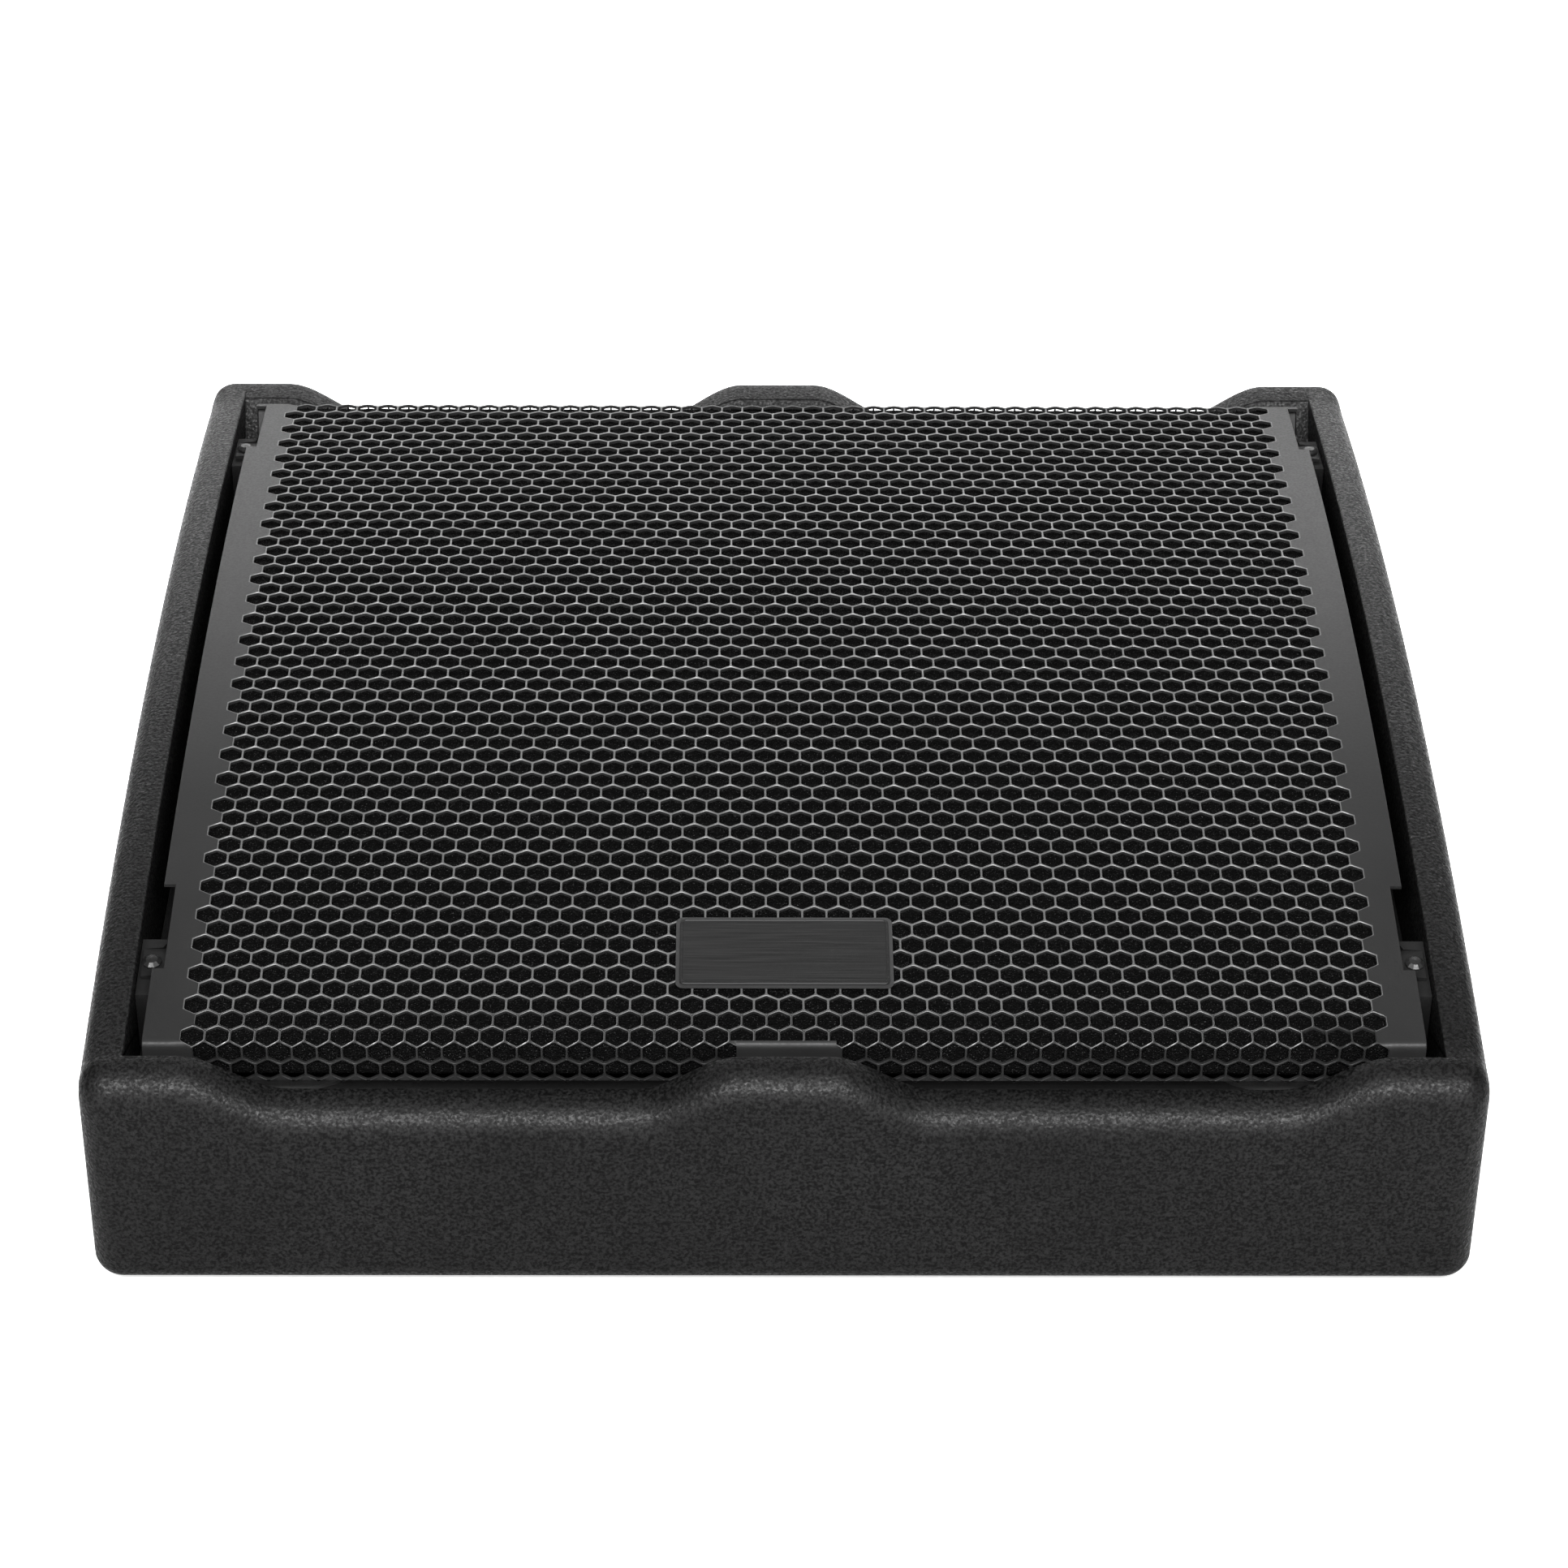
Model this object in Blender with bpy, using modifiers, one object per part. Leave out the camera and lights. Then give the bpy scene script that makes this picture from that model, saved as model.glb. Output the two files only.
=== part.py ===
"""Low-profile stage monitor wedge: a plywood box with an arched hexagon-pattern grille, a coaxial
driver and a built-in amplifier, as separate pieces. Metres, +Z up, the front looks along -Y."""
import math

import bmesh
import bpy
from mathutils import Matrix, Vector

# ---- driving dimensions -------------------------------------------------------------------------
TILT = math.radians(30.0)           # slope of the grille's chord above the floor
FRONT_LEAN = math.radians(29.0)     # front face leans out towards its top by this much
OVERALL_WIDTH = 0.564
TOP_CHORD = 0.555                   # from the front top corner to the rear top corner
FRONT_HEIGHT = 0.1008               # front face, measured along itself
ARCH_RADIUS = 1.689                 # arch of the grille and of the side panels' top edges
PLY = 0.018
FOOT_PROUD = 0.0015                 # how far the feet stand below the box
SEAM = 0.0003                       # gap between two pieces that touch
FINE_SEAM = 0.0004                  # gap around a sliding or turning control

SIDE_ROUND = 0.009                  # outer edges of the side panels
FRONT_ROUND = 0.010                 # front face's top edge
BASE_ROUND = 0.009                  # edges where the front and the back meet the bottom
REAR_ROUND = 0.005                  # rear face's top edge

SCALLOP_DEPTH = 0.0162              # both lips dip this far between the corner pads and the hump
PAD_FLAT = 0.028                    # from the side panel to where a pad starts to fall
PAD_END = 0.057                     # from the side panel to the scallop's floor
HUMP_FLAT = 0.020                   # half of the hump's level top
HUMP_END = 0.052                    # half of the hump at the scallop's floor
SLOPE_STEPS = 7                     # pieces in each slope of a scallop

GRILLE_SHEET = 0.0015
GRILLE_BELOW = 0.0003               # grille face below the side panels' top edge
GRILLE_SIDE_GAP = 0.0067            # between a side panel and the grille's edge
LIP_GAP = 0.0058                    # between a lip and the grille's folded edge
FLANGE_DROP = 0.025                 # depth of the grille's folded front and rear edges
FOLD_RADIUS = 0.003
NOTCH_LENGTH = 0.050
NOTCH_DEPTH = 0.0048
NOTCH_FROM_FRONT = 0.0725           # notch middles, from the lips' inner edges
NOTCH_FROM_REAR = 0.0357
LUG_DROP = 0.0045                   # grille face down to the fixing lugs
LUG_LENGTH = 0.016
LUG_FROM_FRONT = 0.0555             # fixing screws, from the lips' inner edges
LUG_FROM_REAR = 0.0542
LUG_SCREW_OUT = 0.0010              # fixing screws outside the grille's edge
SCREW_HEAD = 0.0040
SCREW_SHANK = 0.0018
SCREW_LENGTH = 0.016

FOAM_THICKNESS = 0.008
FOAM_REAR_STOP = 0.012              # foam ends this far before the grille's rear fold

RIB_WIDTH = 0.0090                  # ribs that stand on the baffle under the grille's blank margins
RIB_BESIDE_WALL = 0.0180            # from a side panel to the rib's far face

BADGE_WIDTH = 0.0855
BADGE_HEIGHT = 0.0378
BADGE_THICKNESS = 0.0012
BADGE_BEHIND_FOLD = 0.0516          # badge middle, measured along the arch from the front fold

BAFFLE_DEPTH = 0.030                # baffle face below the plane of the lips
DRIVER_AHEAD = 0.0081               # driver axis ahead of the arch's middle

SURROUND_SPACE = 0.0305             # from the cone's rim to the baffle's cutout
FLANGE_OVERLAP = 0.018              # flange over the baffle: a nominal fifteen inch driver
BOLTS_OUTSIDE_CUTOUT = 0.0108
BASKET_LIP = 0.018                  # from the cone's rim to the flange's inner edge
BASKET_WINDOW = (0.075, 0.062, 0.030)
FLANGE_THICKNESS = 0.006
BOLT_COUNT = 8
BOLT_SHANK = 0.0027
BOLT_HEAD = 0.0050
BOLT_HEAD_HEIGHT = 0.0032
CONE_OUTER = 0.1480
CONE_NECK = 0.0520
CONE_DEPTH = 0.058
CONE_WALL = 0.0012
COIL_RADIUS = 0.0506
COIL_WALL = 0.0012
COIL_LENGTH = 0.050
TRAVEL = 0.006                      # cone movement each way
BASKET_DEPTH = 0.092
BASKET_WAIST = 0.090
GAP_INSIDE = 0.0008
GAP_OUTSIDE = 0.0010
TOP_PLATE_THICKNESS = 0.010
MAGNET_RADIUS = 0.084
MAGNET_THICKNESS = 0.015
BACK_PLATE_THICKNESS = 0.010
THROAT_RADIUS = 0.0180
HORN_LENGTH = 0.030
HORN_MOUTH = 0.0465
HORN_WALL = 0.0025
HF_RADIUS = 0.045
HF_DEPTH = 0.027

PORT_BESIDE_RIB = 0.0010
PORT_ALONG = 0.072
PORT_RADIUS = 0.034
PORT_WALL = 0.003
PORT_LENGTH = 0.062
PORT_RIM = 0.005

HANDLE_FROM_REAR = 0.1635
HANDLE_Z = 0.120
HANDLE_LENGTH = 0.140
HANDLE_HEIGHT = 0.080
HANDLE_DEPTH = 0.058
HANDLE_WALL = 0.003
HANDLE_RIM = 0.010

AMP_WIDTH = 0.320
AMP_HEIGHT = 0.150
AMP_Z = 0.145
AMP_LEDGE = 0.010
AMP_POCKET = 0.012                  # depth of the recess that holds the amplifier's panel
AMP_SHEET = 0.003
BOARD_BEHIND = 0.0215               # circuit board behind the panel's inner face
BOARD_WIDTH = 0.270
BOARD_HEIGHT = 0.110
BOARD_SHEET = 0.0016
SOCKET_FLANGE = (0.028, 0.033)
SOCKET_BODY = (0.024, 0.029)
SOCKET_BORE = 0.0088
SOCKET_CORE = 0.0066
SOCKET_DEPTH = 0.013
SOCKET_PLACES = {"signal_input": 0.118, "signal_link": 0.080, "mains_inlet": -0.080, "mains_link": -0.118}
SOCKET_Z = 0.186
LATCH = (0.0074, 0.0034, 0.0060)
LATCH_OFFSET = 0.0115
LATCH_TRAVEL = 0.0015
KNOB_X = 0.036
KNOB_RADIUS = 0.0075
KNOB_HEIGHT = 0.0075
KNOB_SHAFT = 0.0024
POT_RADIUS = 0.0085
BUSHING_RADIUS = 0.0036
BUTTON_X = 0.004
BUTTON_RADIUS = 0.0036
BUTTON_TRAVEL = 0.0018
BUTTON_PROUD = 0.0035
CONTROL_Z = 0.190
HEATSINK_WIDTH = 0.280
HEATSINK_HEIGHT = 0.062
HEATSINK_BASE = 0.0025
HEATSINK_Z = 0.112
FIN_COUNT = 24
FIN_HEIGHT = 0.0045

FOOT_RADIUS = 0.015
FOOT_POCKET = 0.003
FOOT_BESIDE_WALL = 0.042            # feet in from the side panels
FOOT_FRONT = 0.026                  # front feet behind the front panel's inner face
FOOT_REAR = 0.032                   # rear feet ahead of the rear panel's inner face

LEAD_RADIUS = 0.0025

LARGE_STEPS = 32                    # flats round a large turned piece
MEDIUM_STEPS = 24
SMALL_STEPS = 10

# ---- sizes that follow --------------------------------------------------------------------------
OUTER_HALF = OVERALL_WIDTH / 2
INNER_HALF = OUTER_HALF - PLY
GRILLE_HALF = INNER_HALF - GRILLE_SIDE_GAP
RIB_INNER = INNER_HALF - RIB_BESIDE_WALL
LUG_SCREW_X = GRILLE_HALF + LUG_SCREW_OUT
FOOT_X = INNER_HALF - FOOT_BESIDE_WALL
FACE_ANGLE = math.pi / 2 + TILT - FRONT_LEAN                  # between the lip's top and the front face
TIP = FRONT_ROUND * (math.cos(TILT - math.pi / 2 + FACE_ANGLE / 2) / math.sin(FACE_ANGLE / 2) - 1)
DEPTH = TOP_CHORD * math.cos(TILT) - TIP
FRONT_Y = -DEPTH / 2 - TIP
REAR_Y = DEPTH / 2
FRONT_Z = FOOT_PROUD + FRONT_HEIGHT * math.cos(FRONT_LEAN)
LIP_FRONT = PLY
LIP_REAR = TOP_CHORD - PLY / math.cos(TILT)
ARCH_MIDDLE = (LIP_FRONT + LIP_REAR) / 2
DRIVER_ALONG = ARCH_MIDDLE - DRIVER_AHEAD
NOTCH_PLACES = (LIP_FRONT + NOTCH_FROM_FRONT, LIP_REAR - NOTCH_FROM_REAR)
LUG_PLACES = (LIP_FRONT + LUG_FROM_FRONT, LIP_REAR - LUG_FROM_REAR)
HANDLE_Y = REAR_Y - HANDLE_FROM_REAR
CUTOUT_RADIUS = CONE_OUTER + SURROUND_SPACE
FLANGE_RADIUS = CUTOUT_RADIUS + FLANGE_OVERLAP
BOLT_CIRCLE = CUTOUT_RADIUS + BOLTS_OUTSIDE_CUTOUT
ARCH_DEPTH = math.sqrt(ARCH_RADIUS ** 2 - ((LIP_REAR - LIP_FRONT) / 2) ** 2)
BASE_FRONT_Y = FRONT_Y + FRONT_HEIGHT * math.sin(FRONT_LEAN)
PORT_X = RIB_INNER - PORT_BESIDE_RIB - PORT_RIM - PORT_WALL - PORT_RADIUS
AMP_FACE = AMP_POCKET - SEAM - AMP_SHEET                      # panel's outer face below the rear face


# ---- places -------------------------------------------------------------------------------------
def seat(along, depth):
    """Return world (y, z) of a point given along the chord from the front and square below the lips."""
    return (FRONT_Y + along * math.cos(TILT) + depth * math.sin(TILT),
            FRONT_Z + along * math.sin(TILT) - depth * math.cos(TILT))


def arch(along, below=0.0):
    """Return world (y, z) on the arch, or on a line that runs the given distance below it."""
    depth = ARCH_DEPTH - math.sqrt((ARCH_RADIUS - below) ** 2 - (along - ARCH_MIDDLE) ** 2)
    return seat(along, depth)


def arch_slope(along):
    """Return the arch's slope above the floor at a place along the chord."""
    return TILT + math.asin((ARCH_MIDDLE - along) / ARCH_RADIUS)


def seat_frame(along, depth, x=0.0, slope=TILT):
    """Return a frame with its Y axis up the slope and its Z axis square out of the grille side."""
    y, z = seat(along, depth)
    return Matrix(((1, 0, 0, x),
                   (0, math.cos(slope), -math.sin(slope), y),
                   (0, math.sin(slope), math.cos(slope), z),
                   (0, 0, 0, 1)))


def rear_frame(right, height, depth=0.0):
    """Return a frame on the rear face: X to the right as seen from behind, Y up and Z outwards."""
    return Matrix(((-1, 0, 0, -right), (0, 0, 1, REAR_Y - depth), (0, 1, 0, height), (0, 0, 0, 1)))


def front_inside(depth, inset=PLY):
    """Return how far along the chord a plane inside the front face lies, at a depth."""
    return (inset - depth * math.sin(TILT - FRONT_LEAN)) / math.cos(TILT - FRONT_LEAN)


def rear_inside(depth, inset=PLY):
    """Return how far along the chord a plane inside the rear face lies, at a depth."""
    return TOP_CHORD - inset / math.cos(TILT) - depth * math.tan(TILT)


def lip_drop(x):
    """Return how far a lip dips at x: nothing on the corner pads and the middle hump."""
    distance = abs(x)
    pad = (INNER_HALF - PAD_FLAT - distance) / (PAD_END - PAD_FLAT)
    hump = (distance - HUMP_FLAT) / (HUMP_END - HUMP_FLAT)
    share = min(max(min(pad, hump), 0.0), 1.0)
    return SCALLOP_DEPTH * share * share * (3 - 2 * share)


def lip_stations():
    """Return the x places where a lip's edge needs a point, from left to right."""
    ends = [(HUMP_FLAT, HUMP_END), (INNER_HALF - PAD_END, INNER_HALF - PAD_FLAT)]
    right = [low + (high - low) * i / SLOPE_STEPS for low, high in ends for i in range(SLOPE_STEPS + 1)]
    return [-x for x in reversed(right)] + right


# ---- scene and materials ------------------------------------------------------------------------
def clear_scene():
    for item in list(bpy.data.objects):
        bpy.data.objects.remove(item, do_unlink=True)


def make_collection(name):
    collection = bpy.data.collections.new(name)
    bpy.context.scene.collection.children.link(collection)
    return collection


def make_material(name, colour, roughness, metallic=0.0):
    material = bpy.data.materials.new(name)
    material.use_nodes = True
    shader = material.node_tree.nodes["Principled BSDF"]
    shader.inputs["Base Color"].default_value = (*colour, 1.0)
    shader.inputs["Roughness"].default_value = roughness
    shader.inputs["Metallic"].default_value = metallic
    return material


clear_scene()
PARTS = make_collection("stage_monitor_wedge")
CUTTERS = make_collection("cutters")
COATED_PLY = make_material("coated_plywood", (0.035, 0.035, 0.037), 0.8)
BARE_PLY = make_material("black_plywood", (0.03, 0.028, 0.026), 0.7)
SHEET_STEEL = make_material("powder_coated_steel", (0.06, 0.06, 0.062), 0.4, 0.6)
FOAM = make_material("black_foam", (0.01, 0.01, 0.01), 0.95)
BLACK_PLASTIC = make_material("black_plastic", (0.02, 0.02, 0.02), 0.45)
RUBBER = make_material("black_rubber", (0.015, 0.015, 0.015), 0.85)
CAST_ALLOY = make_material("black_cast_alloy", (0.05, 0.05, 0.05), 0.5, 0.7)
PAPER = make_material("black_paper_cone", (0.02, 0.02, 0.02), 0.9)
CLOTH = make_material("impregnated_cloth", (0.03, 0.03, 0.03), 0.8)
ZINC_STEEL = make_material("zinc_steel", (0.5, 0.5, 0.5), 0.35, 1.0)
MAGNET = make_material("ferrite_magnet", (0.04, 0.04, 0.045), 0.6)
COPPER_COIL = make_material("wound_coil", (0.5, 0.25, 0.1), 0.4, 0.8)
ALUMINIUM = make_material("black_aluminium", (0.04, 0.04, 0.042), 0.45, 0.8)
CIRCUIT = make_material("circuit_board", (0.02, 0.08, 0.04), 0.5)
BADGE = make_material("badge_plate", (0.08, 0.075, 0.07), 0.35, 0.4)
KNOB_PLASTIC = make_material("knob_plastic", (0.03, 0.03, 0.03), 0.5)


# ---- building -----------------------------------------------------------------------------------
def add_object(name, mesh, frame, material, collection=PARTS):
    """Place a mesh in a collection as a named object."""
    item = bpy.data.objects.new(name, mesh)
    item.matrix_world = frame
    if material:
        mesh.materials.append(material)
    if collection is CUTTERS:
        item.hide_render = True
        item.display_type = "WIRE"
    collection.objects.link(item)
    return item


def mesh_from(shape, name):
    """Turn a bmesh into a mesh with its faces pointing out."""
    bmesh.ops.recalc_face_normals(shape, faces=shape.faces)
    mesh = bpy.data.meshes.new(name)
    shape.to_mesh(mesh)
    shape.free()
    return mesh


def plate(name, outline, low, high, frame, material, collection=PARTS, holes=()):
    """Make a flat piece from a closed outline in its frame's XY plane, from low to high along Z."""
    curve = bpy.data.curves.new(name, "CURVE")
    curve.dimensions = "2D"
    curve.fill_mode = "BOTH"
    curve.extrude = (high - low) / 2
    for loop in (outline, *holes):
        spline = curve.splines.new("POLY")
        spline.points.add(len(loop) - 1)
        for point, (x, y) in zip(spline.points, loop):
            point.co = (x, y, 0, 1)
        spline.use_cyclic_u = True
    guide = bpy.data.objects.new(name, curve)
    bpy.context.scene.collection.objects.link(guide)
    evaluated = guide.evaluated_get(bpy.context.evaluated_depsgraph_get())
    flat = bpy.data.meshes.new_from_object(evaluated)
    bpy.data.objects.remove(guide, do_unlink=True)
    shape = bmesh.new()
    shape.from_mesh(flat)
    bmesh.ops.remove_doubles(shape, verts=shape.verts, dist=1e-6)
    bmesh.ops.translate(shape, verts=shape.verts, vec=(0, 0, (low + high) / 2))
    bmesh.ops.dissolve_limit(shape, angle_limit=0.001, verts=shape.verts, edges=shape.edges)
    mesh = mesh_from(shape, name)
    mesh.materials.clear()
    return add_object(name, mesh, frame, material, collection)


def prism(name, section, left, right, material, collection=PARTS):
    """Make a piece from a closed outline in world (y, z), from left to right along X."""
    frame = Matrix(((0, 0, 1, 0), (1, 0, 0, 0), (0, 1, 0, 0), (0, 0, 0, 1)))
    return plate(name, section, left, right, frame, material, collection)


def turned(name, profile, frame, material, steps=LARGE_STEPS, closed=True, collection=PARTS):
    """Turn a profile of (radius, height) points about the frame's Z axis; a ring's profile is closed."""
    mesh = bpy.data.meshes.new(name)
    edges = [(i, i + 1) for i in range(len(profile) - 1)]
    if closed:
        edges.append((len(profile) - 1, 0))
    mesh.from_pydata([(radius, 0, height) for radius, height in profile], edges, [])
    item = add_object(name, mesh, frame, material, collection)
    screw = item.modifiers.new("Turn", "SCREW")
    screw.angle = 2 * math.pi
    screw.steps = steps
    screw.render_steps = steps
    screw.use_merge_vertices = True
    screw.merge_threshold = 0.00001
    screw.use_smooth_shade = False
    return item


def box(name, size, centre, frame, material=None, collection=CUTTERS):
    """Make a box of a full size about a centre, both in the frame."""
    shape = bmesh.new()
    bmesh.ops.create_cube(shape, size=1.0)
    bmesh.ops.scale(shape, verts=shape.verts, vec=size)
    bmesh.ops.translate(shape, verts=shape.verts, vec=centre)
    return add_object(name, mesh_from(shape, name), frame, material, collection)


def rods(name, places, radius, low, high, frame, sides=MEDIUM_STEPS, collection=CUTTERS):
    """Make one cutter of parallel round rods at (x, y) places, from low to high along Z."""
    shape = bmesh.new()
    for x, y in places:
        spot = Matrix.Translation((x, y, (low + high) / 2))
        bmesh.ops.create_cone(shape, cap_ends=True, segments=sides, radius1=radius, radius2=radius,
                              depth=high - low, matrix=spot)
    return add_object(name, mesh_from(shape, name), frame, None, collection)


def combine(item, tool, operation):
    """Add a Boolean modifier that cuts, or joins, the tool."""
    step = item.modifiers.new(tool.name, "BOOLEAN")
    step.operation = operation
    step.solver = "EXACT"
    step.object = tool


def round_edges(item, width, weigh, segments=3):
    """Round the edges that weigh(a, b) gives a share of the width, from their two end points."""
    mesh = item.data
    weights = mesh.attributes.new("bevel_weight_edge", "FLOAT", "EDGE")
    for edge in mesh.edges:
        start, end = (mesh.vertices[i].co for i in edge.vertices)
        weights.data[edge.index].value = weigh(start, end)
    bevel = item.modifiers.new("Round", "BEVEL")
    bevel.limit_method = "WEIGHT"
    bevel.width = width
    bevel.segments = segments


def rounded_rectangle(width, height, radius, steps=4, centre=(0.0, 0.0)):
    """Return the outline of a rectangle with round corners."""
    points = []
    for quarter, (sx, sy) in enumerate(((1, 1), (-1, 1), (-1, -1), (1, -1))):
        for i in range(steps + 1):
            angle = (quarter + i / steps) * math.pi / 2
            points.append((centre[0] + sx * (width / 2 - radius) + radius * math.cos(angle),
                           centre[1] + sy * (height / 2 - radius) + radius * math.sin(angle)))
    return points


def circle(radius, steps=16, centre=(0.0, 0.0)):
    """Return the outline of a circle."""
    turns = [2 * math.pi * i / steps for i in range(steps)]
    return [(centre[0] + radius * math.cos(a), centre[1] + radius * math.sin(a)) for a in turns]


# ---- plywood box --------------------------------------------------------------------------------
def side_panel(name, side):
    """One side: flat lip ends, an arched top edge, a hand-hole and a rebate for the handle's rim."""
    corners = [seat(0, 0), (BASE_FRONT_Y, FOOT_PROUD), (REAR_Y, FOOT_PROUD), seat(TOP_CHORD, 0)]
    steps = 10
    places = [LIP_REAR + (LIP_FRONT - LIP_REAR) * i / steps for i in range(steps + 1)]
    outline = corners + [arch(along) for along in places]
    low, high = sorted((side * INNER_HALF, side * OUTER_HALF))
    panel = prism(name, outline, low, high, COATED_PLY)
    rounds = (FRONT_ROUND, BASE_ROUND, BASE_ROUND, REAR_ROUND)
    widest = max(*rounds, SIDE_ROUND)

    def weigh(a, b):
        if min(side * a.z, side * b.z) > OUTER_HALF - SEAM:
            return SIDE_ROUND / widest
        for (y, z), reach in zip(corners, rounds):
            if max(abs(a.x - y), abs(b.x - y), abs(a.y - z), abs(b.y - z)) < SEAM:
                return reach / widest
        return 0.0

    round_edges(panel, widest, weigh)
    hand_frame = Matrix(((0, 0, side, 0), (1, 0, 0, HANDLE_Y), (0, 1, 0, HANDLE_Z), (0, 0, 0, 1)))
    if side < 0:
        hand_frame = Matrix(((0, 0, -1, 0), (-1, 0, 0, HANDLE_Y), (0, 1, 0, HANDLE_Z), (0, 0, 0, 1)))
    hole = rounded_rectangle(HANDLE_LENGTH + 2 * SEAM, HANDLE_HEIGHT + 2 * SEAM, 0.018)
    rim = rounded_rectangle(HANDLE_LENGTH + 2 * HANDLE_RIM + 2 * SEAM,
                            HANDLE_HEIGHT + 2 * HANDLE_RIM + 2 * SEAM, 0.024)
    opening = plate(name + "_opening", hole, INNER_HALF - PLY, OUTER_HALF + PLY, hand_frame, None, CUTTERS)
    rebate = plate(name + "_rebate", rim, OUTER_HALF - HANDLE_WALL - SEAM, OUTER_HALF + PLY, hand_frame,
                   None, CUTTERS)
    combine(panel, opening, "DIFFERENCE")
    combine(panel, rebate, "DIFFERENCE")
    return hand_frame


def handle_cup(name, hand_frame):
    """A moulded cup: a rim in the panel's rebate and a hollow for the fingers."""
    rim = rounded_rectangle(HANDLE_LENGTH + 2 * HANDLE_RIM, HANDLE_HEIGHT + 2 * HANDLE_RIM, 0.024)
    body = rounded_rectangle(HANDLE_LENGTH, HANDLE_HEIGHT, 0.018)
    hollow = rounded_rectangle(HANDLE_LENGTH - 2 * HANDLE_WALL, HANDLE_HEIGHT - 2 * HANDLE_WALL, 0.015)
    floor = OUTER_HALF - HANDLE_DEPTH
    cup = plate(name, rim, OUTER_HALF - HANDLE_WALL, OUTER_HALF, hand_frame, BLACK_PLASTIC)
    shell = plate(name + "_body", body, floor, OUTER_HALF - HANDLE_WALL / 2, hand_frame, None, CUTTERS)
    inside = plate(name + "_hollow", hollow, floor + HANDLE_WALL, OUTER_HALF + PLY, hand_frame,
                   None, CUTTERS)
    combine(cup, shell, "UNION")
    combine(cup, inside, "DIFFERENCE")


def front_panel():
    """The front face, with its scalloped and rounded top edge and a mitred foot."""
    y, z = seat(0, 0)
    frame = Matrix(((1, 0, 0, 0),
                    (0, -math.sin(FRONT_LEAN), -math.cos(FRONT_LEAN), y),
                    (0, math.cos(FRONT_LEAN), -math.sin(FRONT_LEAN), z),
                    (0, 0, 0, 1)))
    half = INNER_HALF - SEAM
    top = [(x, -lip_drop(x)) for x in lip_stations()]
    outline = [(-half, -FRONT_HEIGHT), (half, -FRONT_HEIGHT), (half, 0)] + top[::-1] + [(-half, 0)]
    panel = plate("front_panel", outline, -PLY, 0, frame, COATED_PLY)
    for vertex in panel.data.vertices:
        if vertex.co.y < -FRONT_HEIGHT + SEAM and vertex.co.z < -PLY / 2:
            vertex.co.y -= PLY * math.tan(FRONT_LEAN)

    def weigh(a, b):
        if min(a.z, b.z) < -SEAM or abs(a.x - b.x) < SEAM:
            return 0.0
        return BASE_ROUND / FRONT_ROUND if a.y < -FRONT_HEIGHT + SEAM else 1.0

    round_edges(panel, FRONT_ROUND, weigh)


def rear_panel():
    """The upright back, with a scalloped top edge cut on the slope and a recess for the amplifier."""
    frame = rear_frame(0, FOOT_PROUD)
    half = INNER_HALF - SEAM
    peak = seat(TOP_CHORD, 0)[1] - FOOT_PROUD
    top = [(x, peak - lip_drop(x)) for x in lip_stations()]
    outline = [(-half, 0), (half, 0), (half, peak)] + top[::-1] + [(-half, peak)]
    panel = plate("rear_panel", outline, -PLY, 0, frame, COATED_PLY)
    for vertex in panel.data.vertices:
        if vertex.co.y > SCALLOP_DEPTH and vertex.co.z < -PLY / 2:
            vertex.co.y -= PLY * math.tan(TILT)

    def weigh(a, b):
        if min(a.z, b.z) < -SEAM or abs(a.x - b.x) < SEAM:
            return 0.0
        return 1.0 if a.y < SEAM else REAR_ROUND / BASE_ROUND

    round_edges(panel, BASE_ROUND, weigh)
    amp = rear_frame(0, AMP_Z)
    pocket = rounded_rectangle(AMP_WIDTH + 2 * SEAM, AMP_HEIGHT + 2 * SEAM, 0.006)
    through = rounded_rectangle(AMP_WIDTH - 2 * AMP_LEDGE, AMP_HEIGHT - 2 * AMP_LEDGE, 0.004)
    combine(panel, plate("amp_pocket", pocket, -AMP_POCKET, PLY, amp, None, CUTTERS), "DIFFERENCE")
    combine(panel, plate("amp_window", through, -2 * PLY, PLY, amp, None, CUTTERS), "DIFFERENCE")
    holes = rods("amp_screw_holes", amp_screw_places(), SCREW_SHANK + SEAM, -2 * PLY, PLY, amp)
    combine(panel, holes, "DIFFERENCE")


def bottom_panel():
    """The base, between the front and the back, with pockets for the feet."""
    front = BASE_FRONT_Y + PLY / math.cos(FRONT_LEAN) + SEAM
    rear = REAR_Y - PLY - SEAM
    low, high = FOOT_PROUD, FOOT_PROUD + PLY
    section = [(front, low), (rear, low), (rear, high), (front - PLY * math.tan(FRONT_LEAN), high)]
    panel = prism("bottom_panel", section, -INNER_HALF + SEAM, INNER_HALF - SEAM, COATED_PLY)
    pockets = rods("foot_pockets", foot_places(), FOOT_RADIUS + SEAM, -PLY, FOOT_PROUD + FOOT_POCKET,
                   Matrix.Identity(4), sides=MEDIUM_STEPS)
    combine(panel, pockets, "DIFFERENCE")


def foot_places():
    """Return the (x, y) places of the feet."""
    front = BASE_FRONT_Y + PLY / math.cos(FRONT_LEAN) + FOOT_FRONT
    rear = REAR_Y - PLY - FOOT_REAR
    return [(x, y) for y in (front, rear) for x in (-FOOT_X, FOOT_X)]


def feet():
    """Four round rubber feet, set into the base."""
    top = FOOT_PROUD + FOOT_POCKET - SEAM
    edge = 0.0008
    profile = [(0, top), (FOOT_RADIUS, top), (FOOT_RADIUS, edge), (FOOT_RADIUS - edge, 0), (0, 0)]
    for index, (x, y) in enumerate(foot_places(), 1):
        turned(f"foot_{index}", profile, Matrix.Translation((x, y, 0)), RUBBER, steps=MEDIUM_STEPS,
               closed=False)


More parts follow.
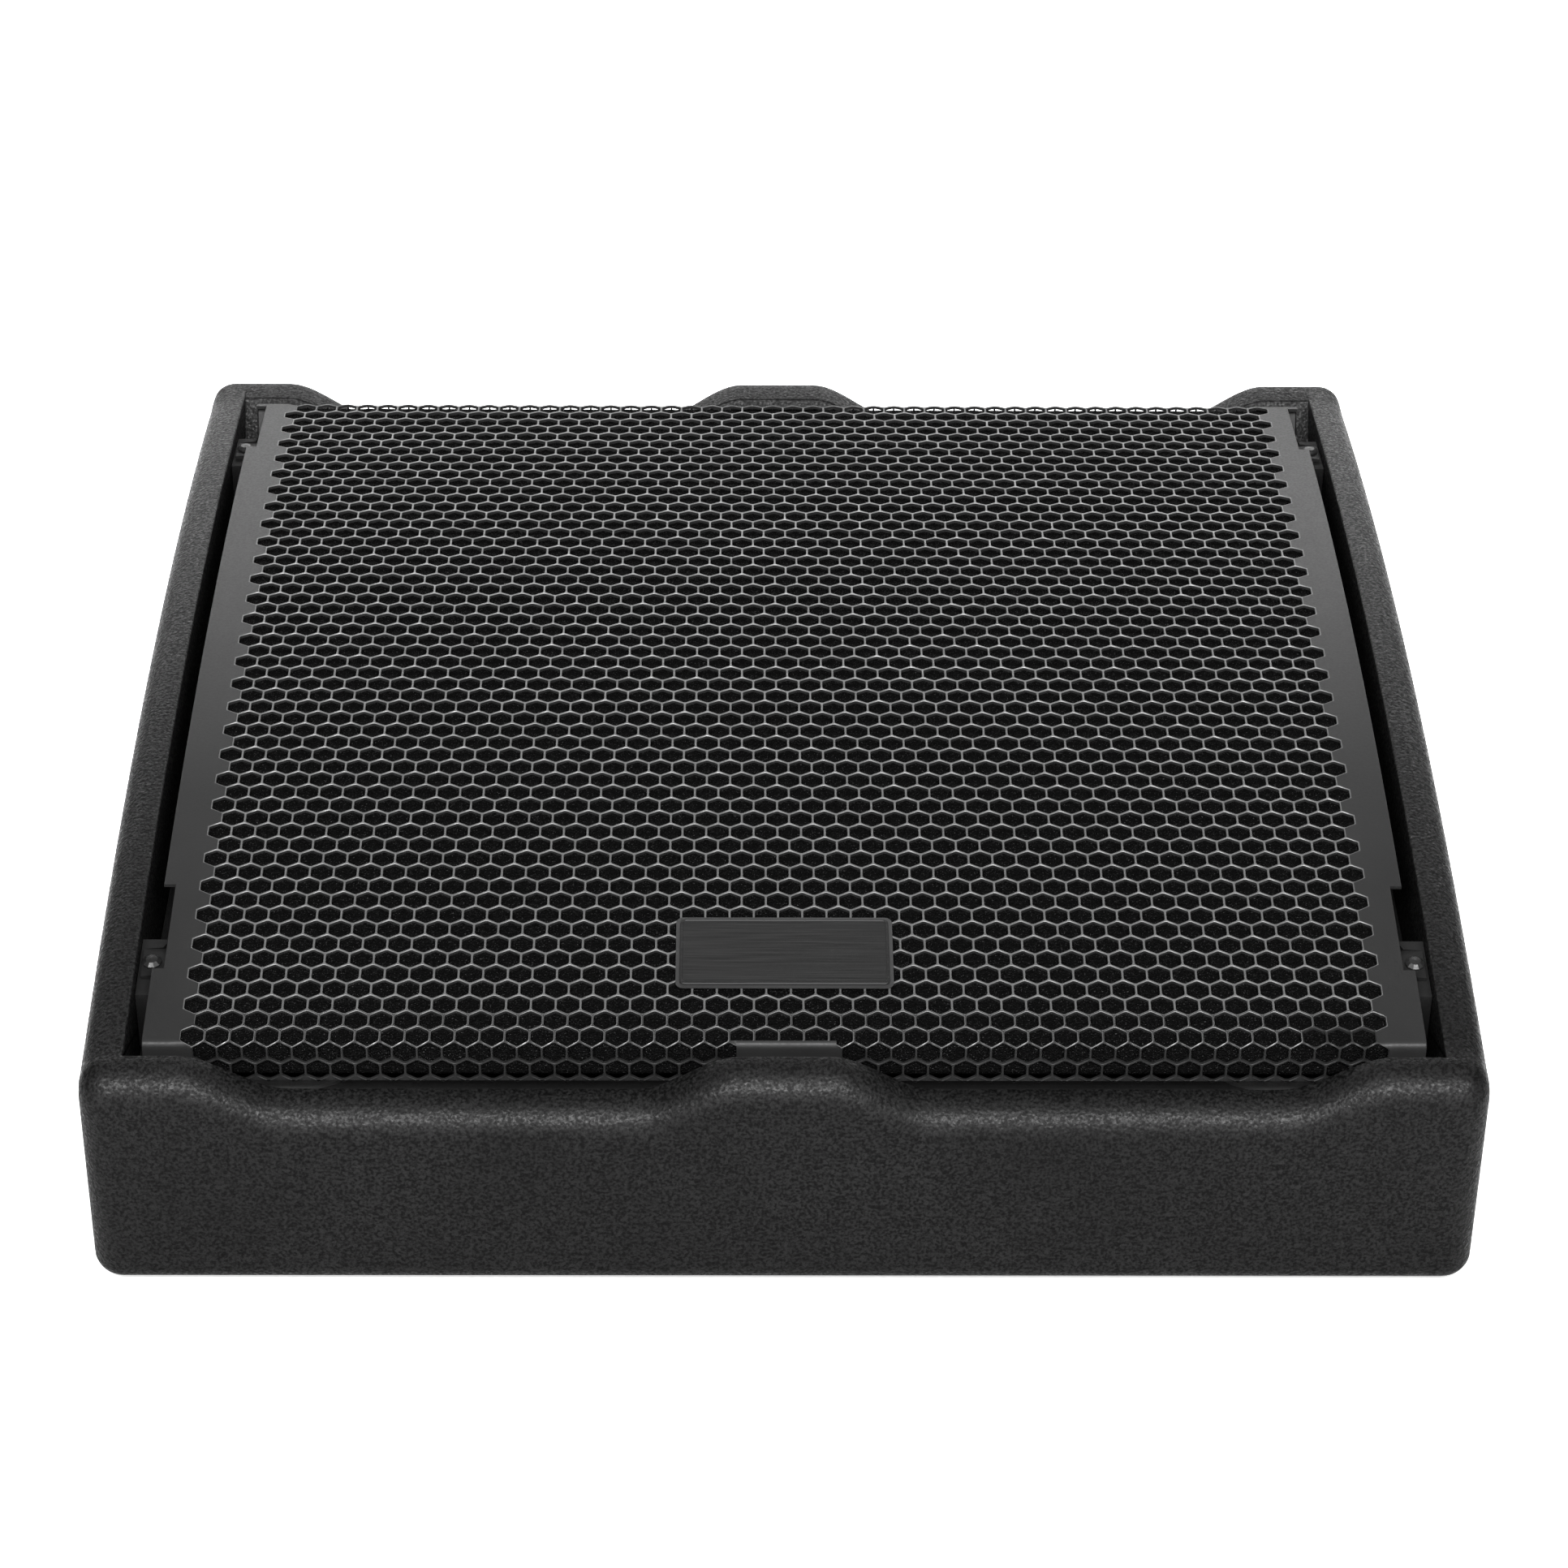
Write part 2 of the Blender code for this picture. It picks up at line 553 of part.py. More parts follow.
def baffle_board():
    """The inner board that carries the driver and the ports, square below the lips."""
    low = BAFFLE_DEPTH + PLY
    section = [seat(front_inside(BAFFLE_DEPTH) + SEAM, BAFFLE_DEPTH),
               seat(front_inside(low) + SEAM, low),
               seat(rear_inside(low) - SEAM, low),
               seat(rear_inside(BAFFLE_DEPTH) - SEAM, BAFFLE_DEPTH)]
    board = prism("baffle_board", section, -INNER_HALF + SEAM, INNER_HALF - SEAM, BARE_PLY)
    driver = seat_frame(DRIVER_ALONG, BAFFLE_DEPTH)
    cutout = rods("driver_cutout", [(0, 0)], CUTOUT_RADIUS, -2 * PLY, PLY, driver, sides=LARGE_STEPS * 2)
    holes = rods("driver_bolt_holes", bolt_places(), BOLT_SHANK + SEAM, -2 * PLY, PLY, driver,
                 sides=SMALL_STEPS)
    ports = rods("port_cutouts", [(-PORT_X, 0), (PORT_X, 0)], PORT_RADIUS + PORT_WALL + SEAM,
                 -2 * PLY, PLY, seat_frame(PORT_ALONG, BAFFLE_DEPTH), sides=MEDIUM_STEPS)
    for tool in (cutout, holes, ports):
        combine(board, tool, "DIFFERENCE")


def port_tube(name, side):
    """A moulded port: a thin rim on the baffle and a tube behind it."""
    outer = PORT_RADIUS + PORT_WALL
    rim = 0.002
    profile = [(PORT_RADIUS, rim), (outer + PORT_RIM, rim), (outer + PORT_RIM, SEAM), (outer, SEAM),
               (outer, -PORT_LENGTH), (PORT_RADIUS, -PORT_LENGTH)]
    frame = seat_frame(PORT_ALONG, BAFFLE_DEPTH, side * PORT_X)
    turned(name, profile, frame, BLACK_PLASTIC, steps=MEDIUM_STEPS)


# ---- grille -------------------------------------------------------------------------------------
def grille_ends():
    """Return where the grille folds at the front and at the rear, along the chord."""
    return LIP_FRONT + LIP_GAP, LIP_REAR - LIP_GAP


def fold_line(along, sign, below, steps=2):
    """Return the (y, z) points of a folded edge, from the arch to the flange's end."""
    inner = FOLD_RADIUS - (below - GRILLE_BELOW)
    slope = arch_slope(along)
    turn_from = math.pi / 2 + slope
    turn_to = math.pi + FRONT_LEAN if sign < 0 else 0.0
    y, z = arch(along, GRILLE_BELOW)
    normal = (-math.sin(slope), math.cos(slope))
    centre = (y - FOLD_RADIUS * normal[0], z - FOLD_RADIUS * normal[1])
    points = []
    for i in range(steps + 1):
        angle = turn_from + (turn_to - turn_from) * i / steps
        points.append((centre[0] + inner * math.cos(angle), centre[1] + inner * math.sin(angle)))
    down = (math.sin(FRONT_LEAN), -math.cos(FRONT_LEAN)) if sign < 0 else (0.0, -1.0)
    last = points[-1]
    points.append((last[0] + FLANGE_DROP * down[0], last[1] + FLANGE_DROP * down[1]))
    return points


def grille_section(below):
    """Return the grille's line in (y, z), from the rear flange's end over the arch to the front's."""
    front, rear = grille_ends()
    steps = 12
    inset = FOLD_RADIUS
    places = [rear - inset + (front - rear + 2 * inset) * i / steps for i in range(1, steps)]
    rear_fold = fold_line(rear - inset, 1, below)[::-1]
    front_fold = fold_line(front + inset, -1, below)
    return rear_fold + [arch(along, below) for along in places] + front_fold


def grille_panel():
    """The arched steel grille, folded down at the front and rear, with notches and fixing lugs."""
    outer = grille_section(GRILLE_BELOW)
    inner = grille_section(GRILLE_BELOW + GRILLE_SHEET)
    panel = prism("grille_panel", outer + inner[::-1], -GRILLE_HALF, GRILLE_HALF, SHEET_STEEL)
    for number, along in enumerate(NOTCH_PLACES):
        y, z = arch(along)
        frame = Matrix.Translation((0, y, z)) @ Matrix.Rotation(arch_slope(along), 4, "X")
        for side in (-1, 1):
            size = (2 * NOTCH_DEPTH, NOTCH_LENGTH, 4 * GRILLE_SHEET)
            tool = box(f"notch_{number}_{side}", size, (side * GRILLE_HALF, 0, 0), frame)
            combine(panel, tool, "DIFFERENCE")
    web = GRILLE_HALF - NOTCH_DEPTH - SEAM
    tip = LUG_SCREW_X + SCREW_HEAD
    low = -LUG_DROP - GRILLE_SHEET
    angle_profile = [(web - GRILLE_SHEET, -GRILLE_SHEET / 2), (web - GRILLE_SHEET, low), (tip, low),
                     (tip, -LUG_DROP), (web, -LUG_DROP), (web, -GRILLE_SHEET / 2)]
    for number, along in enumerate(LUG_PLACES):
        frame = lug_frame(along)
        upright = frame @ Matrix(((1, 0, 0, 0), (0, 0, -1, 0), (0, 1, 0, 0), (0, 0, 0, 1)))
        for side in (-1, 1):
            outline = [(side * x, z) for x, z in angle_profile]
            lug = plate(f"lug_{number}_{side}", outline, -LUG_LENGTH / 2, LUG_LENGTH / 2, upright,
                        None, CUTTERS)
            combine(panel, lug, "UNION")
        places = [(-LUG_SCREW_X, 0), (LUG_SCREW_X, 0)]
        hole = rods(f"lug_holes_{number}", places, SCREW_SHANK + SEAM, -0.010, -LUG_DROP / 2, frame,
                    sides=SMALL_STEPS)
        combine(panel, hole, "DIFFERENCE")


def lug_frame(along):
    """Return the frame of a pair of fixing lugs, on the grille's face."""
    y, z = arch(along, GRILLE_BELOW)
    return Matrix.Translation((0, y, z)) @ Matrix.Rotation(arch_slope(along), 4, "X")


def grille_screws():
    """Pan-head screws through the lugs into the ribs."""
    low = -LUG_DROP + SEAM
    dome = 0.0022
    profile = [(0, low + dome), (SCREW_HEAD * 0.6, low + dome * 0.85), (SCREW_HEAD, low + dome * 0.3),
               (SCREW_HEAD, low), (SCREW_SHANK, low), (SCREW_SHANK, low - SCREW_LENGTH),
               (0, low - SCREW_LENGTH - SCREW_SHANK)]
    index = 0
    for along in LUG_PLACES:
        for side in (-1, 1):
            index += 1
            frame = lug_frame(along) @ Matrix.Translation((side * LUG_SCREW_X, 0, 0))
            turned(f"grille_screw_{index}", profile, frame, ZINC_STEEL, steps=SMALL_STEPS, closed=False)


def grille_rib(name, side):
    """A plywood rib on the baffle under a blank margin of the grille, with two screw blocks."""
    front, rear = LIP_FRONT + LIP_GAP + 0.008, LIP_REAR - 0.030
    below = GRILLE_BELOW + GRILLE_SHEET + SEAM
    steps = 8
    top = [arch(rear + (front - rear) * i / steps, below) for i in range(steps + 1)]
    foot = BAFFLE_DEPTH - SEAM
    section = [seat(front, foot), seat(rear, foot)] + top
    low, high = sorted((side * RIB_INNER, side * (RIB_INNER + RIB_WIDTH - NOTCH_DEPTH)))
    rib = prism(name, section, low, high, BARE_PLY)
    inner = RIB_INNER + RIB_WIDTH / 4
    outer = INNER_HALF - SEAM
    deep = GRILLE_BELOW + LUG_DROP + GRILLE_SHEET + SEAM
    for number, along in enumerate(LUG_PLACES):
        ends = (along - LUG_LENGTH, along + LUG_LENGTH)
        base = foot - FOAM_THICKNESS / 4
        block_section = [seat(ends[0], base), seat(ends[1], base), arch(ends[1], deep), arch(ends[0], deep)]
        left, right = sorted((side * inner, side * outer))
        block = prism(f"{name}_block_{number}", block_section, left, right, None, CUTTERS)
        combine(rib, block, "UNION")
        hole = rods(f"{name}_hole_{number}", [(side * LUG_SCREW_X, 0)], SCREW_SHANK + SEAM, -0.025, 0,
                    lug_frame(along), sides=SMALL_STEPS)
        combine(rib, hole, "DIFFERENCE")


def grille_foam():
    """The sheet of foam behind the grille, turned down behind its front edge."""
    front, rear = grille_ends()
    start = rear - FOAM_REAR_STOP
    stop = front + GRILLE_SHEET + FOLD_RADIUS
    over = GRILLE_BELOW + GRILLE_SHEET + SEAM
    under = over + FOAM_THICKNESS
    steps = 10
    top = [arch(start + (stop - start) * i / steps, over) for i in range(steps + 1)]
    bottom = [arch(start + (stop + FOAM_THICKNESS - start) * i / steps, under) for i in range(steps + 1)]
    depth = FLANGE_DROP
    face = front + GRILLE_SHEET + 2 * SEAM
    fall = [seat(face, FOLD_RADIUS), seat(front_inside(depth, face), depth),
            seat(front_inside(depth, face + FOAM_THICKNESS), depth)]
    prism("grille_foam", top + fall + bottom[::-1], -RIB_INNER + SEAM, RIB_INNER - SEAM, FOAM)


def badge_plate():
    """A plain plate with round corners, on the grille near its front edge."""
    front = grille_ends()[0]
    along = front + BADGE_BEHIND_FOLD * math.cos(arch_slope(front) - TILT)
    y, z = arch(along, GRILLE_BELOW)
    frame = Matrix.Translation((0, y, z)) @ Matrix.Rotation(arch_slope(along), 4, "X")
    outline = rounded_rectangle(BADGE_WIDTH, BADGE_HEIGHT, 0.0015, steps=2)
    plate("badge_plate", outline, SEAM, SEAM + BADGE_THICKNESS, frame, BADGE)


# ---- driver -------------------------------------------------------------------------------------
def bolt_places():
    """Return the (x, y) places of the driver's bolts about its axis."""
    turns = [2 * math.pi * (i + 0.5) / BOLT_COUNT for i in range(BOLT_COUNT)]
    return [(BOLT_CIRCLE * math.cos(a), BOLT_CIRCLE * math.sin(a)) for a in turns]


def driver_basket(frame):
    """The cast frame: a flange, a conical wall with windows, a spider ledge and a motor seat."""
    top = SEAM + FLANGE_THICKNESS
    wall = 0.004
    ledge = BASKET_WAIST - wall - 0.006
    knee = -BASKET_DEPTH * 0.72
    seat_z = -BASKET_DEPTH - wall
    outer = CUTOUT_RADIUS - 0.0015
    profile = [(CONE_OUTER + BASKET_LIP, top), (FLANGE_RADIUS, top), (FLANGE_RADIUS, SEAM), (outer, SEAM),
               (outer, -0.014), (BASKET_WAIST, knee - wall), (BASKET_WAIST, seat_z),
               (COIL_RADIUS + 0.008, seat_z), (COIL_RADIUS + 0.008, -BASKET_DEPTH),
               (ledge, -BASKET_DEPTH), (ledge, knee),
               (BASKET_WAIST - wall, knee), (outer - wall, -0.012), (outer - wall, top - 0.004),
               (CONE_OUTER + BASKET_LIP, top - 0.004)]
    basket = turned("driver_basket", profile, frame, CAST_ALLOY)
    window_out = (CUTOUT_RADIUS + BASKET_WAIST) / 2 + 0.006
    shape = bmesh.new()
    for i in range(BOLT_COUNT):
        spot = Matrix.Rotation(2 * math.pi * i / BOLT_COUNT, 4, "Z")
        spot = spot @ Matrix.Translation((window_out, 0, -BASKET_DEPTH * 0.39))
        bmesh.ops.create_cube(shape, size=1.0, matrix=spot @ Matrix.Diagonal((*BASKET_WINDOW, 1)))
    windows = add_object("basket_windows", mesh_from(shape, "basket_windows"), frame, None, CUTTERS)
    combine(basket, windows, "DIFFERENCE")
    holes = rods("flange_holes", bolt_places(), BOLT_SHANK + SEAM, -0.020, 0.020, frame, sides=SMALL_STEPS)
    combine(basket, holes, "DIFFERENCE")


def driver_soft_parts(frame):
    """The gasket ring, the rolled cone surround and the corrugated spider."""
    top = SEAM + FLANGE_THICKNESS
    inner = BOLT_CIRCLE - BOLT_HEAD - 0.0065
    outer = BOLT_CIRCLE - BOLT_HEAD - SEAM
    ring = [(inner, top + 0.004), (outer, top + 0.004), (outer, top + SEAM), (inner, top + SEAM)]
    turned("driver_gasket", ring, frame, RUBBER)
    sheet = 0.0008
    roll = 0.0085
    centre = CONE_OUTER + roll + 0.001
    low = top + SEAM
    arc_steps = 5
    angles = [math.pi * (1 - i / arc_steps) for i in range(arc_steps + 1)]
    under_roll = roll - sheet
    over = [(centre + roll * math.cos(a), low + sheet + roll * 0.8 * math.sin(a)) for a in angles]
    under = [(centre + under_roll * math.cos(a), low + under_roll * 0.8 * math.sin(a)) for a in angles]
    rim = inner - SEAM
    landing = CONE_OUTER - 0.006
    surround = ([(landing, low + sheet)] + over + [(rim, low + sheet), (rim, low)] + under[::-1]
                + [(landing, low)])
    turned("cone_surround", surround, frame, CLOTH)
    knee = -BASKET_DEPTH * 0.72 + SEAM
    start = COIL_RADIUS + COIL_WALL / 2 + SEAM
    stop = BASKET_WAIST - 0.004 - SEAM
    waves = 6
    points = [(start + (stop - start) * i / waves, knee + 0.001 + (0.0010 if i % 2 else -0.0002))
              for i in range(waves + 1)]
    points[-1] = (stop, knee)
    points[-2] = (stop - 0.005, knee)
    spider = [(radius, z + sheet) for radius, z in points] + points[::-1]
    turned("spider", spider, frame, CLOTH)


def moving_cone(frame):
    """The paper cone and the voice coil on its former, which move together along the axis."""
    top = SEAM + FLANGE_THICKNESS
    steps = 5
    outer, inner = [], []
    for i in range(steps + 1):
        share = i / steps
        radius = CONE_OUTER + (CONE_NECK - CONE_OUTER) * share
        height = top - CONE_DEPTH * (1 - (1 - share) ** 1.25)
        outer.append((radius, height))
        inner.append((radius, height - CONE_WALL * 1.3))
    turned("cone", inner + outer[::-1], frame, PAPER)
    low = top - CONE_DEPTH - CONE_WALL * 1.3 - SEAM
    half = COIL_WALL / 2
    former = [(COIL_RADIUS - half, low), (COIL_RADIUS + half, low), (COIL_RADIUS + half, low - COIL_LENGTH),
              (COIL_RADIUS - half, low - COIL_LENGTH)]
    turned("voice_coil", former, frame, COPPER_COIL)
    return low - COIL_LENGTH


def motor(frame, coil_end):
    """The top plate, the magnet ring and the back plate with its pole, around the coil's gap."""
    high = -BASKET_DEPTH - 0.004 - SEAM
    outer_gap = COIL_RADIUS + COIL_WALL / 2 + GAP_OUTSIDE
    pole = COIL_RADIUS - COIL_WALL / 2 - GAP_INSIDE
    low = high - TOP_PLATE_THICKNESS
    plate_radius = MAGNET_RADIUS - 0.004
    ring = [(outer_gap, high), (plate_radius, high), (plate_radius, low), (outer_gap, low)]
    turned("top_plate", ring, frame, ZINC_STEEL)
    high, low = low - SEAM, low - SEAM - MAGNET_THICKNESS
    magnet_bore = outer_gap + 0.004
    ring = [(magnet_bore, high), (MAGNET_RADIUS, high), (MAGNET_RADIUS, low), (magnet_bore, low)]
    turned("magnet_ring", ring, frame, MAGNET)
    back = low - SEAM
    floor = back - BACK_PLATE_THICKNESS
    well = min(coil_end - TRAVEL - 0.002, back - 0.002)
    pole_top = -BASKET_DEPTH - 0.002
    profile = [(THROAT_RADIUS, pole_top), (pole, pole_top), (pole, well), (outer_gap, well),
               (outer_gap, back), (MAGNET_RADIUS - 0.003, back), (MAGNET_RADIUS - 0.003, floor),
               (THROAT_RADIUS, floor)]
    turned("back_plate", profile, frame, ZINC_STEEL)
    return pole_top, floor


def high_driver(frame, pole_top, floor):
    """The compression driver behind the motor and the small horn in the middle of the cone."""
    low = pole_top + SEAM
    steps = 5
    neck = THROAT_RADIUS
    inside = [(neck + (HORN_MOUTH - neck) * (i / steps) ** 1.5, low + HORN_LENGTH * i / steps)
              for i in range(steps + 1)]
    outside = [(radius + HORN_WALL * (0.6 if i else 1.0), height)
               for i, (radius, height) in enumerate(inside)]
    outside[0] = (COIL_RADIUS - COIL_WALL / 2 - 0.004, low)
    outside.insert(1, (COIL_RADIUS - COIL_WALL / 2 - 0.004, low + 0.003))
    outside.insert(2, (neck + HORN_WALL, low + 0.004))
    turned("horn", outside[::-1] + inside, frame, BLACK_PLASTIC, steps=MEDIUM_STEPS)
    top = floor - SEAM
    step = 0.002
    profile = [(0, top), (HF_RADIUS, top), (HF_RADIUS, top - HF_DEPTH + step),
               (HF_RADIUS - step, top - HF_DEPTH), (0, top - HF_DEPTH)]
    turned("high_driver", profile, frame, BLACK_PLASTIC, steps=MEDIUM_STEPS, closed=False)


def driver_bolts(frame):
    """Eight pan-head bolts through the flange into the baffle."""
    low = 2 * SEAM + FLANGE_THICKNESS
    profile = [(0, low + BOLT_HEAD_HEIGHT), (BOLT_HEAD * 0.7, low + BOLT_HEAD_HEIGHT),
               (BOLT_HEAD, low + BOLT_HEAD_HEIGHT * 0.4), (BOLT_HEAD, low), (BOLT_SHANK, low),
               (BOLT_SHANK, -PLY + SEAM), (0, -PLY + SEAM)]
    for index, (x, y) in enumerate(bolt_places(), 1):
        turned(f"driver_bolt_{index}", profile, frame @ Matrix.Translation((x, y, 0)), ZINC_STEEL,
               steps=SMALL_STEPS, closed=False)


# ---- amplifier ----------------------------------------------------------------------------------
def amp_screw_places():
    """Return the (right, up) places of the amplifier panel's screws about its middle."""
    x = AMP_WIDTH / 2 - AMP_LEDGE / 2
    y = AMP_HEIGHT / 2 - AMP_LEDGE / 2
    return [(-x, -y), (x, -y), (-x, y), (x, y)]


def amp_panel():
    """The amplifier's steel panel, with cut-outs for its sockets and controls."""
    frame = rear_frame(0, AMP_Z)
    holes = [rounded_rectangle(SOCKET_BODY[0] + 2 * SEAM, SOCKET_BODY[1] + 2 * SEAM, 0.002, 2,
                               (x, SOCKET_Z - AMP_Z)) for x in SOCKET_PLACES.values()]
    holes.append(circle(BUSHING_RADIUS + SEAM, 16, (KNOB_X, CONTROL_Z - AMP_Z)))
    holes.append(circle(BUTTON_RADIUS + FINE_SEAM, 16, (BUTTON_X, CONTROL_Z - AMP_Z)))
    holes += [circle(SCREW_SHANK + SEAM, 12, place) for place in amp_screw_places()]
    outline = rounded_rectangle(AMP_WIDTH, AMP_HEIGHT, 0.006)
    plate("amp_panel", outline, -AMP_FACE - AMP_SHEET, -AMP_FACE, frame, SHEET_STEEL, holes=holes)


def amp_screws():
    """Pan-head screws through the amplifier's panel into the ledge behind it."""
    low = -AMP_FACE + SEAM
    head = 0.0034
    profile = [(0, low + 0.0020), (head * 0.6, low + 0.0017), (head, low + 0.0006), (head, low),
               (SCREW_SHANK, low), (SCREW_SHANK, -PLY + SEAM), (0, -PLY + SEAM)]
    for index, (x, y) in enumerate(amp_screw_places(), 1):
        frame = rear_frame(x, AMP_Z + y)
        turned(f"amp_screw_{index}", profile, frame, ZINC_STEEL, steps=SMALL_STEPS, closed=False)


def heatsink():
    """An extruded heatsink with upright fins, on the lower half of the amplifier's panel."""
    base = AMP_FACE - SEAM - HEATSINK_BASE
    tip = base - FIN_HEIGHT
    pitch = HEATSINK_WIDTH / FIN_COUNT
    outline = [(HEATSINK_WIDTH / 2, -AMP_FACE + SEAM), (-HEATSINK_WIDTH / 2, -AMP_FACE + SEAM)]
    for i in range(FIN_COUNT):
        start = -HEATSINK_WIDTH / 2 + i * pitch
        gap = pitch * 0.3
        outline += [(start + gap * (i > 0), -base), (start + gap * (i > 0), -tip),
                    (start + pitch - gap * (i < FIN_COUNT - 1), -tip),
                    (start + pitch - gap * (i < FIN_COUNT - 1), -base)]
    cleaned = [point for i, point in enumerate(outline) if point != outline[i - 1]]
    frame = Matrix(((-1, 0, 0, 0), (0, 1, 0, REAR_Y), (0, 0, -1, HEATSINK_Z), (0, 0, 0, 1)))
    plate("heatsink", cleaned, -HEATSINK_HEIGHT / 2, HEATSINK_HEIGHT / 2, frame, ALUMINIUM)


def amp_electronics():
    """The circuit board behind the panel and the power supply on it."""
    near = AMP_FACE + AMP_SHEET + BOARD_BEHIND
    outline = rounded_rectangle(BOARD_WIDTH, BOARD_HEIGHT, 0.003, 2)
    plate("amp_board", outline, -near - BOARD_SHEET, -near, rear_frame(0, AMP_Z), CIRCUIT)
    far = near + BOARD_SHEET + SEAM
    block = rounded_rectangle(0.105, 0.078, 0.004, 2)
    plate("power_supply", block, -far - 0.024, -far, rear_frame(-0.070, AMP_Z), ALUMINIUM)


def socket(name, x, kind):
    """A chassis socket: a flange on the panel, a body behind it and a round recess for a plug."""
    frame = rear_frame(x, SOCKET_Z, AMP_FACE)
    flange = rounded_rectangle(*SOCKET_FLANGE, 0.003, 2)
    body_outline = rounded_rectangle(*SOCKET_BODY, 0.002, 2)
    front = SEAM + 0.002
    item = plate(name, flange, SEAM, front, frame, BLACK_PLASTIC)
    back = AMP_SHEET + BOARD_BEHIND - SEAM
    body = plate(name + "_body", body_outline, -back, SEAM + 0.001, frame, None, CUTTERS)
    combine(item, body, "UNION")
    deep = front - SOCKET_DEPTH
    if kind == "pins":
        recess = rods(name + "_recess", [(0, 0)], SOCKET_BORE, deep, front + 0.005, frame,
                      sides=MEDIUM_STEPS)
        combine(item, recess, "DIFFERENCE")
        pins = rods(name + "_pins", contact_places(0.0040), 0.0012, deep - 0.003, front - 0.003, frame,
                    sides=8)
        combine(item, pins, "UNION")
    else:
        ring = [(SOCKET_CORE, front + 0.005), (SOCKET_BORE, front + 0.005), (SOCKET_BORE, deep),
                (SOCKET_CORE, deep)]
        recess = turned(name + "_recess", ring, frame, None, steps=MEDIUM_STEPS, collection=CUTTERS)
        combine(item, recess, "DIFFERENCE")
        holes = rods(name + "_holes", contact_places(0.0038), 0.0013, deep + 0.003, front + 0.005, frame,
                     sides=8)
        combine(item, holes, "DIFFERENCE")
    if kind == "latched":
        size = (LATCH[0] + 2 * FINE_SEAM, LATCH[1] + 2 * FINE_SEAM, 2 * (LATCH[2] + LATCH_TRAVEL))
        slot = box(name + "_slot", size, (0, LATCH_OFFSET, front), frame)
        combine(item, slot, "DIFFERENCE")


def contact_places(radius):
    """Return the places of three contacts about a socket's axis."""
    turns = [math.radians(angle) for angle in (30, 150, 270)]
    return [(radius * math.cos(a), radius * math.sin(a)) for a in turns]


def socket_latch():
    """The input socket's release tab, pressed straight in to free the plug."""
    frame = rear_frame(SOCKET_PLACES["signal_input"], SOCKET_Z + LATCH_OFFSET, AMP_FACE)
    proud = SEAM + 0.002 + LATCH_TRAVEL + SEAM
    outline = rounded_rectangle(LATCH[0], LATCH[1], 0.0008, 2)
    plate("input_latch", outline, proud - LATCH[2], proud, frame, BLACK_PLASTIC)


def level_control():
    """The level knob on its shaft, and the potentiometer that it turns in."""
    frame = rear_frame(KNOB_X, CONTROL_Z, AMP_FACE)
    low = 0.0016
    collar = 0.0010
    shaft_end = -0.0085
    knob = [(0, low + KNOB_HEIGHT - collar), (KNOB_RADIUS - collar, low + KNOB_HEIGHT - collar),
            (KNOB_RADIUS, low + KNOB_HEIGHT - 2 * collar), (KNOB_RADIUS, low), (KNOB_SHAFT, low),
            (KNOB_SHAFT, shaft_end), (0, shaft_end)]
    item = turned("level_knob", knob, frame, KNOB_PLASTIC, steps=MEDIUM_STEPS, closed=False)
    pointer = box("knob_pointer", (0.0012, KNOB_RADIUS, 0.0012), (0, KNOB_RADIUS / 2 + 0.0015,
                  low + KNOB_HEIGHT - collar), frame)
    combine(item, pointer, "DIFFERENCE")
    back = -AMP_SHEET - SEAM
    bore = KNOB_SHAFT + FINE_SEAM
    pot = [(0, shaft_end - 2 * FINE_SEAM), (bore, shaft_end - 2 * FINE_SEAM), (bore, low - 2 * FINE_SEAM),
           (BUSHING_RADIUS, low - 2 * FINE_SEAM), (BUSHING_RADIUS, back), (POT_RADIUS, back),
           (POT_RADIUS, back - 0.0095), (0, back - 0.0095)]
    turned("level_potentiometer", pot, frame, ZINC_STEEL, steps=MEDIUM_STEPS, closed=False)


def preset_control():
    """The preset push button and the switch body behind it."""
    frame = rear_frame(BUTTON_X, CONTROL_Z, AMP_FACE)
    stem = 0.0018
    neck = -AMP_SHEET - 0.002
    end = -0.0120
    edge = 0.0006
    button = [(0, BUTTON_PROUD), (BUTTON_RADIUS - edge, BUTTON_PROUD), (BUTTON_RADIUS, BUTTON_PROUD - edge),
              (BUTTON_RADIUS, neck), (stem, neck), (stem, end), (0, end)]
    turned("preset_button", button, frame, KNOB_PLASTIC, steps=MEDIUM_STEPS, closed=False)
    front = -AMP_SHEET - SEAM
    bore = BUTTON_RADIUS + FINE_SEAM
    case = 0.0065
    shoulder = neck - BUTTON_TRAVEL - FINE_SEAM
    tail = end - BUTTON_TRAVEL - FINE_SEAM
    body = [(0, tail), (stem + FINE_SEAM, tail), (stem + FINE_SEAM, shoulder), (bore, shoulder),
            (bore, front), (case, front), (case, tail - 0.0020), (0, tail - 0.0020)]
    turned("preset_switch", body, frame, BLACK_PLASTIC, steps=MEDIUM_STEPS, closed=False)


